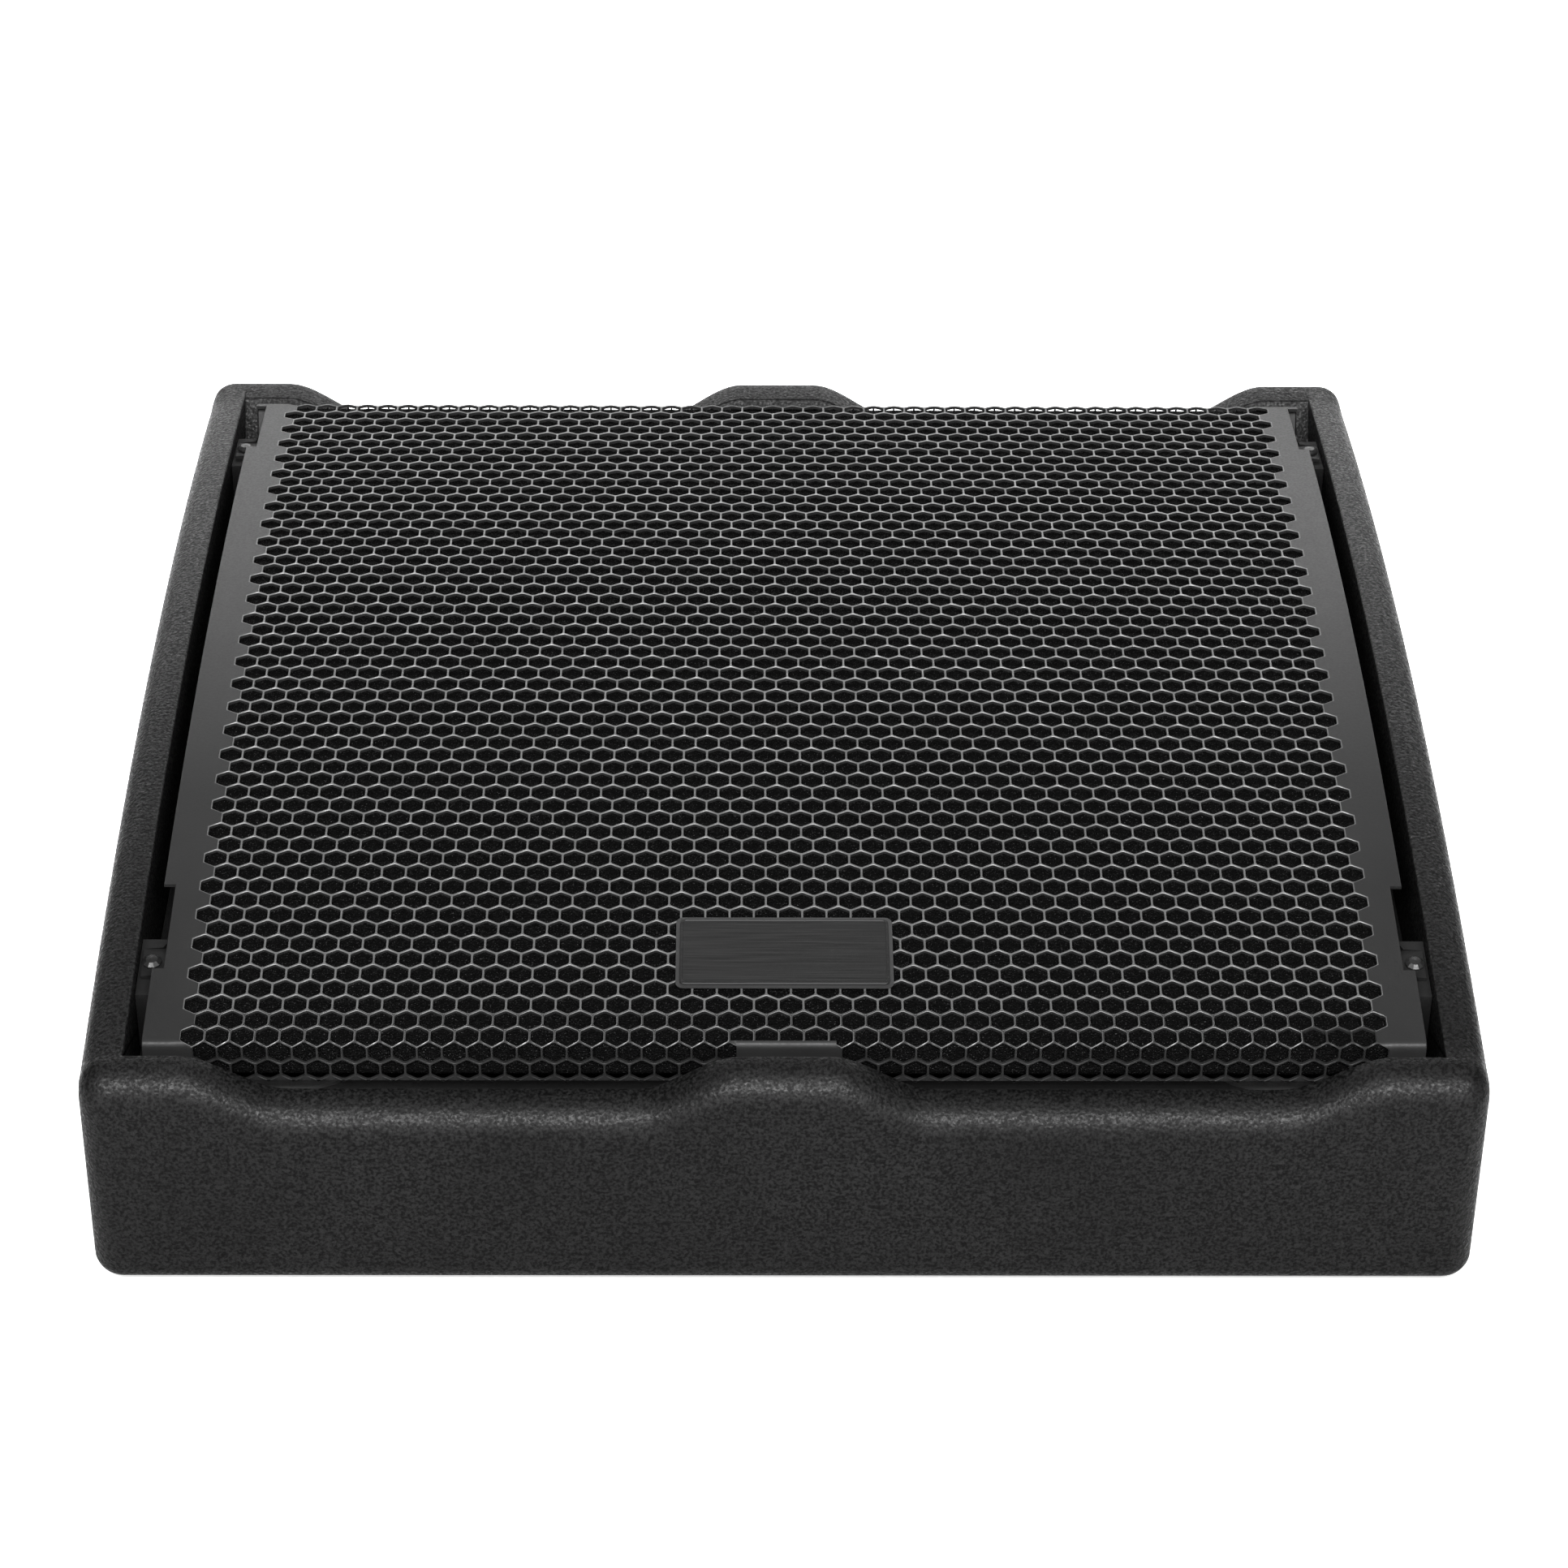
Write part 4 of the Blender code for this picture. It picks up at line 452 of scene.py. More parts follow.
rear_angle, front_angle = arch_angle(REAR_FOLD), arch_angle(FRONT_FOLD)
ROW_UNIT = FACE_RADIUS * (rear_angle - front_angle) / (ROWS_START + ROWS_FRONT)
row_length = ROW_STEP / PITCH * ROW_UNIT
bend_angles = arch_angle(REAR_FOLD - FOLD_RADIUS), arch_angle(FRONT_FOLD + FOLD_RADIUS)
bend_rear, bend_front = [FACE_RADIUS * (rear_angle - angle) - ROWS_START * ROW_UNIT for angle in bend_angles]
turn_rear = LIP_ANGLE - bend_angles[0]
turn_front = FACE_ANGLE - (LIP_ANGLE - bend_angles[1])
SHEET_START = bend_rear - FOLD_RADIUS * turn_rear - REAR_FLANGE
SHEET_END = bend_front + FOLD_RADIUS * turn_front + FRONT_FLANGE
PLAIN_LOW, PLAIN_HIGH = -(PLAIN_FROM - ROWS_FRONT + ROWS_START) * ROW_UNIT, PLAIN_FROM * ROW_UNIT


def sheet_point(x, length, below=0.0):
    """(x, y, z) at a length along the folded sheet, counted from row line 0 to the front, and a depth below
    its face. Between the bends the point is on the arch; in a bend it turns round the bend's middle; past it,
    it runs straight on. The depth is taken off along the sheet's own outward direction."""
    x, length, below = np.broadcast_arrays(np.asarray(x, float), np.asarray(length, float), below)
    deck = np.clip(length, bend_rear, bend_front)
    angle = rear_angle - (deck + ROWS_START * ROW_UNIT) / FACE_RADIUS
    along = ARCH_MIDDLE + FACE_RADIUS * np.sin(angle)
    base = arch_points(along, GRILLE_BELOW)
    outward = LIP_ANGLE - angle
    after = np.maximum(length - bend_front, 0)
    before = np.maximum(bend_rear - length, 0)
    turned = np.minimum(after / FOLD_RADIUS, turn_front) - np.minimum(before / FOLD_RADIUS, turn_rear)
    past = np.maximum(after - FOLD_RADIUS * turn_front, 0) - np.maximum(before - FOLD_RADIUS * turn_rear, 0)
    facing = outward + turned
    middle = base - FOLD_RADIUS * direction(outward)
    place = middle + (FOLD_RADIUS - below)[..., None] * direction(facing)
    place = place + past[..., None] * direction(facing + math.pi / 2)
    return np.concatenate([x[..., None], place], -1)


def welded(points, faces):
    """Points that coincide become one, so that cells share their edges."""
    _, first, back = np.unique(np.round(points, 7), axis=0, return_index=True, return_inverse=True)
    return points[first], back.ravel()[faces]


def joined(parts):
    """Several (points, faces) as one: each part's faces count on from the points of the parts before it."""
    starts = np.cumsum([0] + [len(points) for points, _ in parts])
    return np.concatenate([points for points, _ in parts]), [part[1] + at for part, at in zip(parts, starts)]


def hexagon_rings(steps):
    """A cell in (x, length): its six-sided border and the punched hole's round-cornered outline, as loops of
    6 (steps + 1) points. Each side runs from corner to corner; the hole's sides stop short of its corners."""
    corner = direction(math.pi / 2 + np.arange(7) * math.pi / 3) * PITCH / math.sqrt(3)
    share = np.linspace(0, 1, steps + 1)[None, :, None]

    def loop(width, cut):
        corners = corner * width / PITCH
        side = corners[1:] - corners[:-1]
        trim = cut / np.linalg.norm(side, axis=1)[:, None]
        start, stop = corners[:-1] + trim * side, corners[1:] - trim * side
        return (start[:, None] + share * (stop - start)[:, None]).reshape(-1, 2)

    border = loop(PITCH, 0.0)
    return border, loop(PITCH - BAR_TOP, HOLE_ROUND), loop(PITCH - BAR, HOLE_ROUND * 0.8)


def punched_cells(rows, steps):
    """Points and faces of whole rows of cells: border, hole edge, chamfer foot and wall through the sheet.
    Odd rows sit half a pitch over. Cells in the plain middle of the outermost rows have no hole: they are
    borders drawn in to a point."""
    border, top, foot = hexagon_rings(steps)
    row = np.repeat(rows, CELLS_A_ROW)
    place = np.tile(np.arange(CELLS_A_ROW) - CELLS_A_ROW // 2, len(rows)) + 0.5 * (row % 2) + 0.25
    centres = np.stack([place * PITCH, row * ROW_STEP / PITCH * ROW_UNIT], 1)
    middle = np.abs(centres[:, 0] - PLAIN_CENTRE) < PLAIN_MIDDLE
    beyond = (row >= LAST_ROW - 1) | (row <= FIRST_ROW + 1)
    punched = centres[~(middle & beyond)]
    plain = centres[middle & beyond]
    rings = np.stack([border, top, foot, foot])
    depth = np.array([0.0, 0.0, CHAMFER, GRILLE_SHEET])[None, :, None]
    local = punched[:, None, None] + rings[None]
    # Holes that meet the plain middle of a fold are cut off straight.
    near = (np.abs(punched[:, 0] - PLAIN_CENTRE) < PLAIN_MIDDLE)[:, None, None]
    clipped = np.clip(local[:, 1:, :, 1], PLAIN_LOW, PLAIN_HIGH)
    local[:, 1:, :, 1] = np.where(near, clipped, local[:, 1:, :, 1])
    points = sheet_point(local[..., 0], local[..., 1], np.broadcast_to(depth, local.shape[:3]))
    count = border.shape[0]
    one = grid_faces(4, count, wrap_columns=True)
    offset = np.arange(len(punched))[:, None, None] * 4 * count
    points, faces = points.reshape(-1, 3), (one[None] + offset).reshape(-1, 4)
    if len(plain):
        blank = plain[:, None, None] + np.linspace(1, 0, 5)[:, None, None] * border
        one = grid_faces(5, count, wrap_columns=True)
        offset = len(points) + np.arange(len(plain))[:, None, None] * 5 * count
        points = np.concatenate([points, sheet_point(blank[..., 0], blank[..., 1]).reshape(-1, 3)])
        faces = np.concatenate([faces, (one[None] + offset).reshape(-1, 4)])
    return points, faces[:, ::-1]


coat, add, place, drive = new_material("satin_black_powder_coat", specular=0.19)
coat_grain = add("ShaderNodeTexNoise", {"Scale": 900.0, "Detail": 2.0}, place)
coat_cloud = add("ShaderNodeTexNoise", {"Scale": 9.0, "Detail": 4.0}, place)
drive("Base Color", ramp(add, coat_cloud, 0.010, 0.017))
drive("Roughness", ramp(add, coat_grain, 0.36, 0.50))
drive("Normal", add("ShaderNodeBump", {"Strength": 0.25, "Distance": 0.0001}, Height=coat_grain))
# A lighter, half-metallic copy of the coat on bars and chamfers: painted sheen for the light they catch.
painted_bar_sheen, add, place, drive = new_material("painted_sheen_on_bars", metallic=0.6)
sheen_drift = add("ShaderNodeTexNoise", {"Scale": 120.0, "Detail": 3.0}, place)
drive("Base Color", ramp(add, sheen_drift, 0.11, 0.17))
drive("Roughness", ramp(add, sheen_drift, 0.55, 0.42))

# Steps along a cell's side: one on the arch, more where the cells bend over the folds.
DECK_STEPS, FOLD_STEPS = 1, 4
deck_points, deck_faces = welded(*punched_cells(np.arange(FIRST_DECK_ROW, LAST_DECK_ROW + 1), DECK_STEPS))
deck = surface("grille_deck", deck_points, deck_faces, slot="black_sheet_steel", sharp=35)
deck.data.materials.append(coat)
deck.data.materials.append(painted_bar_sheen)
fold_rows = np.concatenate([np.arange(FIRST_ROW, FIRST_DECK_ROW), np.arange(LAST_DECK_ROW + 1, LAST_ROW + 1)])
fold_points, fold_faces = welded(*punched_cells(fold_rows, FOLD_STEPS))
folds = surface("grille_folded_edges", fold_points, fold_faces, slot="black_sheet_steel", sharp=35)
folds.data.materials.append(coat)
folds.data.materials.append(painted_bar_sheen)
# A cell's faces run ring by ring: the bar's top, the chamfer, then the wall. On the arch both bars and
# chamfers take the painted sheen, and only the chamfers do in the rows that turn over a fold.
deck_ring = (np.arange(len(deck.data.polygons)) // (6 * (DECK_STEPS + 1))) % 3
deck.data.polygons.foreach_set("material_index", np.where(deck_ring < 2, 1, 0))
fold_order = np.arange(len(folds.data.polygons)) // (6 * (FOLD_STEPS + 1))
fold_cell = fold_order // 3
turning = (fold_cell >= CELLS_BEFORE_TURN) & (fold_cell < CELLS_BEFORE_TURN + TURNING_ROWS * CELLS_A_ROW)
folds.data.polygons.foreach_set("material_index", np.where(turning & (fold_order % 3 == 1), 1, 0))

NOTCH_LENGTH, NOTCH_DEPTH = 0.050, 0.0048
NOTCH_PLACES = (LIP_FRONT + 0.0725, LIP_REAR - 0.0357)
EDGE_ROUND, EDGE_FLAT = 0.0004, 0.0002
# |x| of the outermost cells' border, where a row reaches further out and where it stops short.
WIDE_BORDER, NARROW_BORDER = 0.2425, 0.2375


def sheet_length(along):
    """Length along the sheet, from row line 0, of a place along the chord."""
    return FACE_RADIUS * (rear_angle - arch_angle(along)) - ROWS_START * ROW_UNIT


def cell_border(length, side):
    """|x| of the outermost cells' border on one side, at lengths along the sheet. It steps by half a pitch
    from row to row: straight on for two thirds of a row, and across in the last third."""
    count = length / row_length
    row = np.floor(count + 1 / 3)
    into = np.clip((count + 1 / 3 - row - 2 / 3) * 3, 0, 1)
    even, odd = (WIDE_BORDER, NARROW_BORDER) if side < 0 else (NARROW_BORDER, WIDE_BORDER)
    this = np.where(row % 2 == 0, even, odd)
    following = np.where(row % 2 == 0, odd, even)
    return this + into * (following - this)


in_row = np.array([-1/3, -1/6, 0, 1/6, 1/3, 5/12, 1/2, 7/12])
row_places = np.arange(FIRST_ROW, LAST_ROW + 2)[:, None] + in_row
notch_ends = np.concatenate([sheet_length(place_along) + np.array([-0.5, -0.4995, 0.4995, 0.5]) * NOTCH_LENGTH
                             for place_along in NOTCH_PLACES])
stations = np.unique(np.concatenate([[SHEET_START, SHEET_END], row_places.ravel() * row_length, notch_ends]))
stations = stations[(stations >= SHEET_START) & (stations <= SHEET_END)]
edge = np.full(stations.shape, GRILLE_HALF)
for place_along in NOTCH_PLACES:
    edge[np.abs(stations - sheet_length(place_along)) < 0.4998 * NOTCH_LENGTH] -= NOTCH_DEPTH
first_cell, last_cell = (FIRST_ROW - 1 / 3) * row_length, (LAST_ROW + 1 / 3) * row_length
round_turn = np.linspace(0, math.pi / 2, 4)
for side_name, side in (("left", -1), ("right", 1)):
    inner_edge = cell_border(np.clip(stations, first_cell, last_cell), side)
    across = np.concatenate([
        inner_edge + np.linspace(0, 1, 4)[:, None] * (edge - EDGE_ROUND - EDGE_FLAT - inner_edge),
        edge - EDGE_ROUND + EDGE_ROUND * np.sin(round_turn)[:, None], [edge]])
    below = np.concatenate([np.zeros(4), EDGE_ROUND * (1 - np.cos(round_turn)), [GRILLE_SHEET]])[:, None]
    margin_points = sheet_point(side * across, stations[None], below).reshape(-1, 3)
    margin = surface(f"grille_{side_name}_margin", margin_points, grid_faces(len(across), stations.size),
                     slot="black_sheet_steel", sharp=35, turn_over=side < 0)
    margin.data.materials.append(coat)

# The solid strips below the last holes of the folded edges, each with its cut edge. A strip's upper border
# follows the last row's cells: a zigzag between their corners and the middles of their ends.
corner_x = np.arange(1 - CELLS_A_ROW, CELLS_A_ROW + 1) * PITCH / 2 - PITCH / 4
strip_ends = [-WIDE_BORDER, -NARROW_BORDER, NARROW_BORDER, WIDE_BORDER]
low_x = np.unique(np.round(np.concatenate([corner_x, strip_ends]), 5))
strips = []
for last_row, sign, end in ((LAST_ROW, 1, SHEET_END), (FIRST_ROW, -1, SHEET_START)):
    wave = np.abs(((low_x / PITCH - 0.25 - 0.5 * (last_row % 2)) % 1.0) - 0.5) * 2
    border = last_row * row_length + sign * PITCH / math.sqrt(3) * (0.5 + 0.5 * wave) * ROW_UNIT / PITCH
    share = np.linspace(0, 1, 4)[:, None]
    lengths = np.concatenate([border + share * (end - border), np.full((1, low_x.size), end)])
    depth = np.array([0.0] * 4 + [GRILLE_SHEET])[:, None]
    faces = grid_faces(len(depth), low_x.size)[:, ::-sign]
    strips.append((sheet_point(low_x[None], lengths, depth).reshape(-1, 3), faces))
cut_edges = surface("grille_cut_edges", *joined(strips), slot="black_sheet_steel", sharp=35)
cut_edges.data.materials.append(coat)

# The plain tabs in the middle of both folded edges, which close the cut-off holes in a straight line.
tab_x = np.linspace(PLAIN_CENTRE - PLAIN_MIDDLE, PLAIN_CENTRE + PLAIN_MIDDLE, 9)
tabs = []
for line, sign, end in ((PLAIN_HIGH, 1, SHEET_END), (PLAIN_LOW, -1, SHEET_START)):
    lengths = np.concatenate([np.linspace(line, line + sign * TAB_FINE, 15), [end]])
    tab = sheet_point(tab_x[None], lengths[:, None], -TAB_PROUD).reshape(-1, 3)
    tabs.append((tab, grid_faces(lengths.size, tab_x.size)[:, ::-sign]))
plain_tabs = surface("grille_plain_tabs", *joined(tabs), slot="black_sheet_steel", sharp=60)
plain_tabs.data.materials.append(coat)

# Fixing lugs. Small angles welded under the notches, with a black pan-head screw through each into the rib
# below. The section is (x, depth below the sheet's face), bent with a small inner round.
LUG_DROP, LUG_LENGTH, LUG_TOP = 0.0045, 0.016, 0.0007
LUG_PLACES = (LIP_FRONT + 0.0555, LIP_REAR - 0.0542)
LUG_WEB = GRILLE_HALF - NOTCH_DEPTH - 0.0003
LUG_TIP = GRILLE_HALF + 0.0050
lug_section = np.array([
    (LUG_WEB - GRILLE_SHEET, LUG_TOP), (LUG_WEB - GRILLE_SHEET, LUG_DROP + GRILLE_SHEET),
    (LUG_TIP, LUG_DROP + GRILLE_SHEET), (LUG_TIP, LUG_DROP), (LUG_WEB + 0.0012, LUG_DROP),
    (LUG_WEB + 0.0004, LUG_DROP - 0.0004), (LUG_WEB, LUG_DROP - 0.0012), (LUG_WEB, LUG_TOP)])
lug_middle = lug_section.mean(0)
# Each ring of a lug: place along its length, and how far its section is opened from that middle.
lug_along = np.array([-0.5, -0.5, -0.25, 0.25, 0.5, 0.5]) * LUG_LENGTH
lug_grow = np.array([0, 1, 1, 1, 1, 0])[:, None, None]
lug_rings = lug_middle + lug_grow * (lug_section - lug_middle)
lug_list = []
for place_along in LUG_PLACES:
    for side in (-1, 1):
        spots = sheet_length(place_along) + lug_along[:, None]
        lug = sheet_point(side * lug_rings[..., 0], spots, lug_rings[..., 1]).reshape(-1, 3)
        faces = grid_faces(len(lug_along), len(lug_section), wrap_columns=True)[:, ::-side]
        lug_list.append((lug, faces))
lugs = surface("grille_fixing_lugs", *joined(lug_list), slot="black_sheet_steel", sharp=35)
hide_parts("grille_panel")

# Grille foam. A sheet of open-cell acoustic foam glued behind the steel, so that dust and drinks stay out. It
# stops short of the rear fold, thinned there, and turns down behind the front one as a thin flap. Its upper
# face is rough: each point of it sinks by a random share of a fifth of a millimetre.
FOAM_GAP, FOAM_THICK, FOAM_REAR_STOP = 0.0003, 0.008, 0.0036
RIB_THICK = 0.018
FOAM_HALF = INNER_HALF - RIB_THICK - FOAM_GAP
FOAM_FLAP, FOAM_FLAP_THICK, FOAM_TAIL, FOAM_TAIL_THICK, FOAM_END_GAP = 0.012, 0.0011, 0.010, 0.003, 0.002
FOAM_ROUGH = 0.00022
foam_rows, foam_columns = 260, 230
foam_start = sheet_length(REAR_FOLD - FOAM_REAR_STOP)
foam_stop = SHEET_END - FOAM_END_GAP
foam_length = np.linspace(foam_start, foam_stop, foam_rows)
thick = np.where(foam_length < bend_front - FOAM_FLAP, FOAM_THICK, FOAM_FLAP_THICK)
thick = np.where(foam_length < foam_start + FOAM_TAIL, FOAM_TAIL_THICK, thick)
over = GRILLE_SHEET + FOAM_GAP
foam_rings = np.concatenate([foam_length, foam_length[::-1]])
foam_depth = np.concatenate([np.full(foam_rows, over), over + thick[::-1]])
foam_x = np.linspace(-FOAM_HALF, FOAM_HALF, foam_columns)
rough = np.random.default_rng(7).random((foam_rows, foam_columns)) * FOAM_ROUGH
depth = np.repeat(foam_depth[:, None], foam_columns, 1)
depth[:foam_rows] += rough
foam_body = sheet_point(foam_x[None], foam_rings[:, None], depth)
foam_faces = grid_faces(2 * foam_rows, foam_columns, wrap_rows=True)
# The two long sides: quads between a row of the upper face and its partner on the lower one.
row = np.arange(foam_rows - 1)
left_side = np.stack([row, row + 1, 2 * foam_rows - 2 - row, 2 * foam_rows - 1 - row], 1) * foam_columns
foam = surface("grille_foam_sheet", foam_body.reshape(-1, 3),
               [foam_faces, left_side[:, ::-1], left_side + foam_columns - 1], slot="black_foam")
foam_look, add, place, drive = new_material("open_cell_foam", specular=0.04)
cells = add("ShaderNodeTexVoronoi", {"Scale": 1300.0}, place)
foam_grain = add("ShaderNodeTexNoise", {"Scale": 2200.0, "Detail": 3.0}, place)
pores = ramp(add, cells, 0.0004, 0.0022, 0.15, 0.75)
glints = ramp(add, foam_grain, 0.0, 0.06, 0.64, 0.71)
drive("Base Color", add("ShaderNodeMath", {"operation": "MAXIMUM"}, pores, glints))
drive("Roughness", ramp(add, foam_grain, 0.85, 0.25, 0.5, 0.72))
drive("Normal", add("ShaderNodeBump", {"Strength": 1.0, "Distance": 0.0008}, Height=cells))
foam.data.materials.append(foam_look)
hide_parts("grille_foam")

# Badge. A plain anodised plate in a slightly larger black backing, fixed on the grille near its front edge.
# It carries no lettering.
BADGE_WIDTH, BADGE_HEIGHT, BADGE_FROM_FOLD = 0.0855, 0.0378, 0.0516
badge_middle = sheet_length(FRONT_FOLD) - BADGE_FROM_FOLD


def stacked_plate(levels, spot, steps=5):
    """A flat plate built of rounded rectangles, one a level: (margin taken off all round, height, corner
    radius). It lies on the sheet's face at a length along it, its last ring drawn in to a point."""
    rings = []
    for off, height, corner_size in levels:
        outline = rounded_rectangle(BADGE_WIDTH - 2 * off, BADGE_HEIGHT - 2 * off, corner_size, steps=steps)
        rings.append(np.column_stack([outline, np.full(len(outline), height)]))
    rings.append(rings[-1] * (0, 0, 1))
    rings = np.stack(rings)
    facing = LIP_ANGLE - (rear_angle - (spot + ROWS_START * ROW_UNIT) / FACE_RADIUS)
    base = sheet_point(0.0, spot)[1:]
    flat = base + rings[..., 1:2] * direction(facing - math.pi / 2) + rings[..., 2:] * direction(facing)
    points = np.concatenate([rings[..., :1], flat], -1).reshape(-1, 3)
    return points, grid_faces(len(rings), 4 * steps, wrap_columns=True)


backing_levels = [(-0.0016, 0.00005, 0.003), (-0.0016, 0.0004, 0.003)]
backing_points, backing_faces = stacked_plate(backing_levels, badge_middle)
backing = surface("badge_backing", backing_points, backing_faces, slot="black_plastic", sharp=30)
badge_levels = [(0.0, 0.0003, 0.0022), (0.0, 0.0011, 0.0022), (0.0003, 0.0014, 0.0020),
                (0.0010, 0.0015, 0.0016), (0.0013, 0.0012, 0.0014)]
badge_points, badge_faces = stacked_plate(badge_levels, badge_middle)
badge = surface("badge_face", badge_points, badge_faces, slot="badge_metal", sharp=25)
badge_look, add, place, drive = new_material("dark_anodised_plate", specular=0.12)
stretch = add("ShaderNodeMapping", {"Scale": (30.0, 2200.0, 2200.0)}, place)
brushed = add("ShaderNodeTexNoise", {"Scale": 1.0, "Detail": 2.0}, stretch)
drive("Base Color", ramp(add, brushed, 0.010, 0.020))
drive("Roughness", ramp(add, brushed, 0.34, 0.46))
badge.data.materials.append(badge_look)
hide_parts("badge_plate")


def moulded(name, low, high, rough_low, rough_high, scale=500.0, metallic=0.0, bump=0.00008, specular=0.5,
            tint=(1.0, 1.0, 1.0)):
    """A material whose tone and gloss drift over a fine grain: low and high are its darkest and lightest
    share of the tint, and the grain also lifts the surface by the bump's height."""
    material, add, place, drive = new_material(name, specular, metallic)
    drift = add("ShaderNodeTexNoise", {"Scale": 18.0, "Detail": 4.0}, place)
    fine = add("ShaderNodeTexNoise", {"Scale": scale, "Detail": 3.0}, place)
    mix = add("ShaderNodeMix", {"data_type": "RGBA"}, ramp(add, drift, 0.0, 1.0))
    mix.inputs[6].default_value = [low * share for share in tint] + [1]
    mix.inputs[7].default_value = [high * share for share in tint] + [1]
    drive("Base Color", mix.outputs[2])
    drive("Roughness", ramp(add, fine, rough_low, rough_high))
    drive("Normal", add("ShaderNodeBump", {"Strength": 0.6, "Distance": bump}, Height=fine))
    return material


black_plastic = moulded("black_moulded_plastic", 0.016, 0.024, 0.42, 0.62, scale=900.0, bump=0.00012)
backing.data.materials.append(black_plastic)
# The lugs take a coat darker than the grille's own: painted shade for the recess under the notches.
lugs.data.materials.append(moulded("painted_shade_black_coat", 0.004, 0.008, 0.55, 0.75, scale=700.0, specular=0.2))

# Hand recesses. A moulded cup in each side board, its rim let in flush, wide enough for a gloved hand.
CUP_DRAFT, CUP_FLOOR_ROUND, CUP_LIP_ROUND, CUP_CORNER = 0.004, 0.012, 0.004, 0.0175
CUP_RIM_LENGTH, CUP_RIM_HEIGHT = HANDLE_LENGTH + 2 * HANDLE_RIM, HANDLE_HEIGHT + 2 * HANDLE_RIM
cup_turn = np.linspace(0, math.pi / 2, 7)
cup_start = HANDLE_RIM + HANDLE_SHEET
floor_depth = HANDLE_DEPTH - HANDLE_SHEET
# Margin at which the floor's rings, and the back's, close to a line down the cup's middle.
cup_spine = CUP_RIM_HEIGHT / 2 - 0.001
# Each ring of the cup: margin off the rim's outline, distance in from the side board's face, corner radius.
# They run from the rim's outer edge over the lip's round, down the wall, round on to the floor, and back.
rim_rings = [(0.0, 0.0026, 0.0238), (0.0, 0.0006, 0.0238), (0.0002, 0.0002, 0.0236), (0.0008, 0.0, 0.0230)]
wall_rings = [(cup_start - CUP_LIP_ROUND + CUP_LIP_ROUND * math.sin(turn),
               CUP_LIP_ROUND * (1 - math.cos(turn)), CUP_CORNER) for turn in cup_turn]
floor_rings = [(cup_start + CUP_DRAFT + CUP_FLOOR_ROUND * (1 - math.cos(turn)),
                floor_depth - CUP_FLOOR_ROUND * (1 - math.sin(turn)), CUP_CORNER) for turn in cup_turn]
closing_rings = [(cup_start + 0.030, floor_depth, 0.006), (cup_spine, floor_depth, 0.0004)]
back_rings = [(cup_spine, HANDLE_DEPTH, 0.0004), (HANDLE_RIM + CUP_DRAFT + 0.006, HANDLE_DEPTH, 0.012),
              (HANDLE_RIM + CUP_DRAFT, HANDLE_DEPTH - 0.008, 0.016),
              (HANDLE_RIM, HANDLE_SHEET + 0.001, 0.018), (HANDLE_RIM - 0.0005, HANDLE_SHEET, 0.018)]
cup_levels = rim_rings + wall_rings + floor_rings + closing_rings + back_rings
for side_name, side in (("left", -1), ("right", 1)):
    rings = []
    for off, deep, corner_size in cup_levels:
        outline = rounded_rectangle(CUP_RIM_LENGTH - 2 * off, CUP_RIM_HEIGHT - 2 * off, corner_size,
                                    HANDLE_MIDDLE)
        rings.append(np.column_stack([np.full(len(outline), side * (OUTER_HALF - deep)), outline]))
    cup_faces = grid_faces(len(rings), len(rings[0]), wrap_rows=True, wrap_columns=True)
    cup = surface(side_name + "_hand_cup", np.concatenate(rings), cup_faces, slot="black_plastic", sharp=40,
                  turn_over=side < 0)
    cup.data.materials.append(black_plastic)
    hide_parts(side_name + "_handle_cup")

# Rear controls. They sit on the amplifier's panel, let into the rear board: a knurled level knob inside a
# printed scale, a green power lamp in a plated bezel, and a pair of small screws in each socket's flange.
PANEL_SHEET, PANEL_SEAL = 0.003, 0.0003
PANEL_Y = REAR_Y - (AMP_POCKET - PANEL_SEAL - PANEL_SHEET)
CONTROL_Z = 0.190
KNOB_SPOT, LAMP_SPOT = (-0.036, CONTROL_Z), (0.028, CONTROL_Z)
KNURLS, KNURL_DEPTH = 18, 0.00035


def turned_points(profile, spots, steps, ripple=None):
    """Profiles of (radius, height off the panel) turned about the panel's outward direction at each (x, z)
    spot. The radius may ripple round the piece: a cosine of a given count and depth, times a third column."""
    profile = np.asarray(profile, float)
    turn = np.arange(steps) * 2 * math.pi / steps
    radius = np.repeat(profile[:, :1], steps, 1)
    if ripple:
        radius = radius + profile[:, 2:] * ripple[1] * np.cos(ripple[0] * turn)
    points = [np.stack([x + radius * np.sin(turn), np.full(radius.shape, PANEL_Y) + profile[:, 1:2],
                        z + radius * np.cos(turn)], -1).reshape(-1, 3) for x, z in spots]
    faces = [grid_faces(len(profile), steps, wrap_columns=True, start=i * len(points[0]))
             for i in range(len(spots))]
    return np.concatenate(points), faces


def turned_piece(name, profile, spots, material, body="cabinet", slot=None, steps=48, ripple=None, sharp=30):
    """A turned piece, or several alike, on the amplifier's panel, in one material."""
    points, faces = turned_points(profile, spots, steps, ripple)
    piece = surface(name, points, faces, body=body, slot=slot, sharp=sharp)
    piece.data.materials.append(material)
    return piece


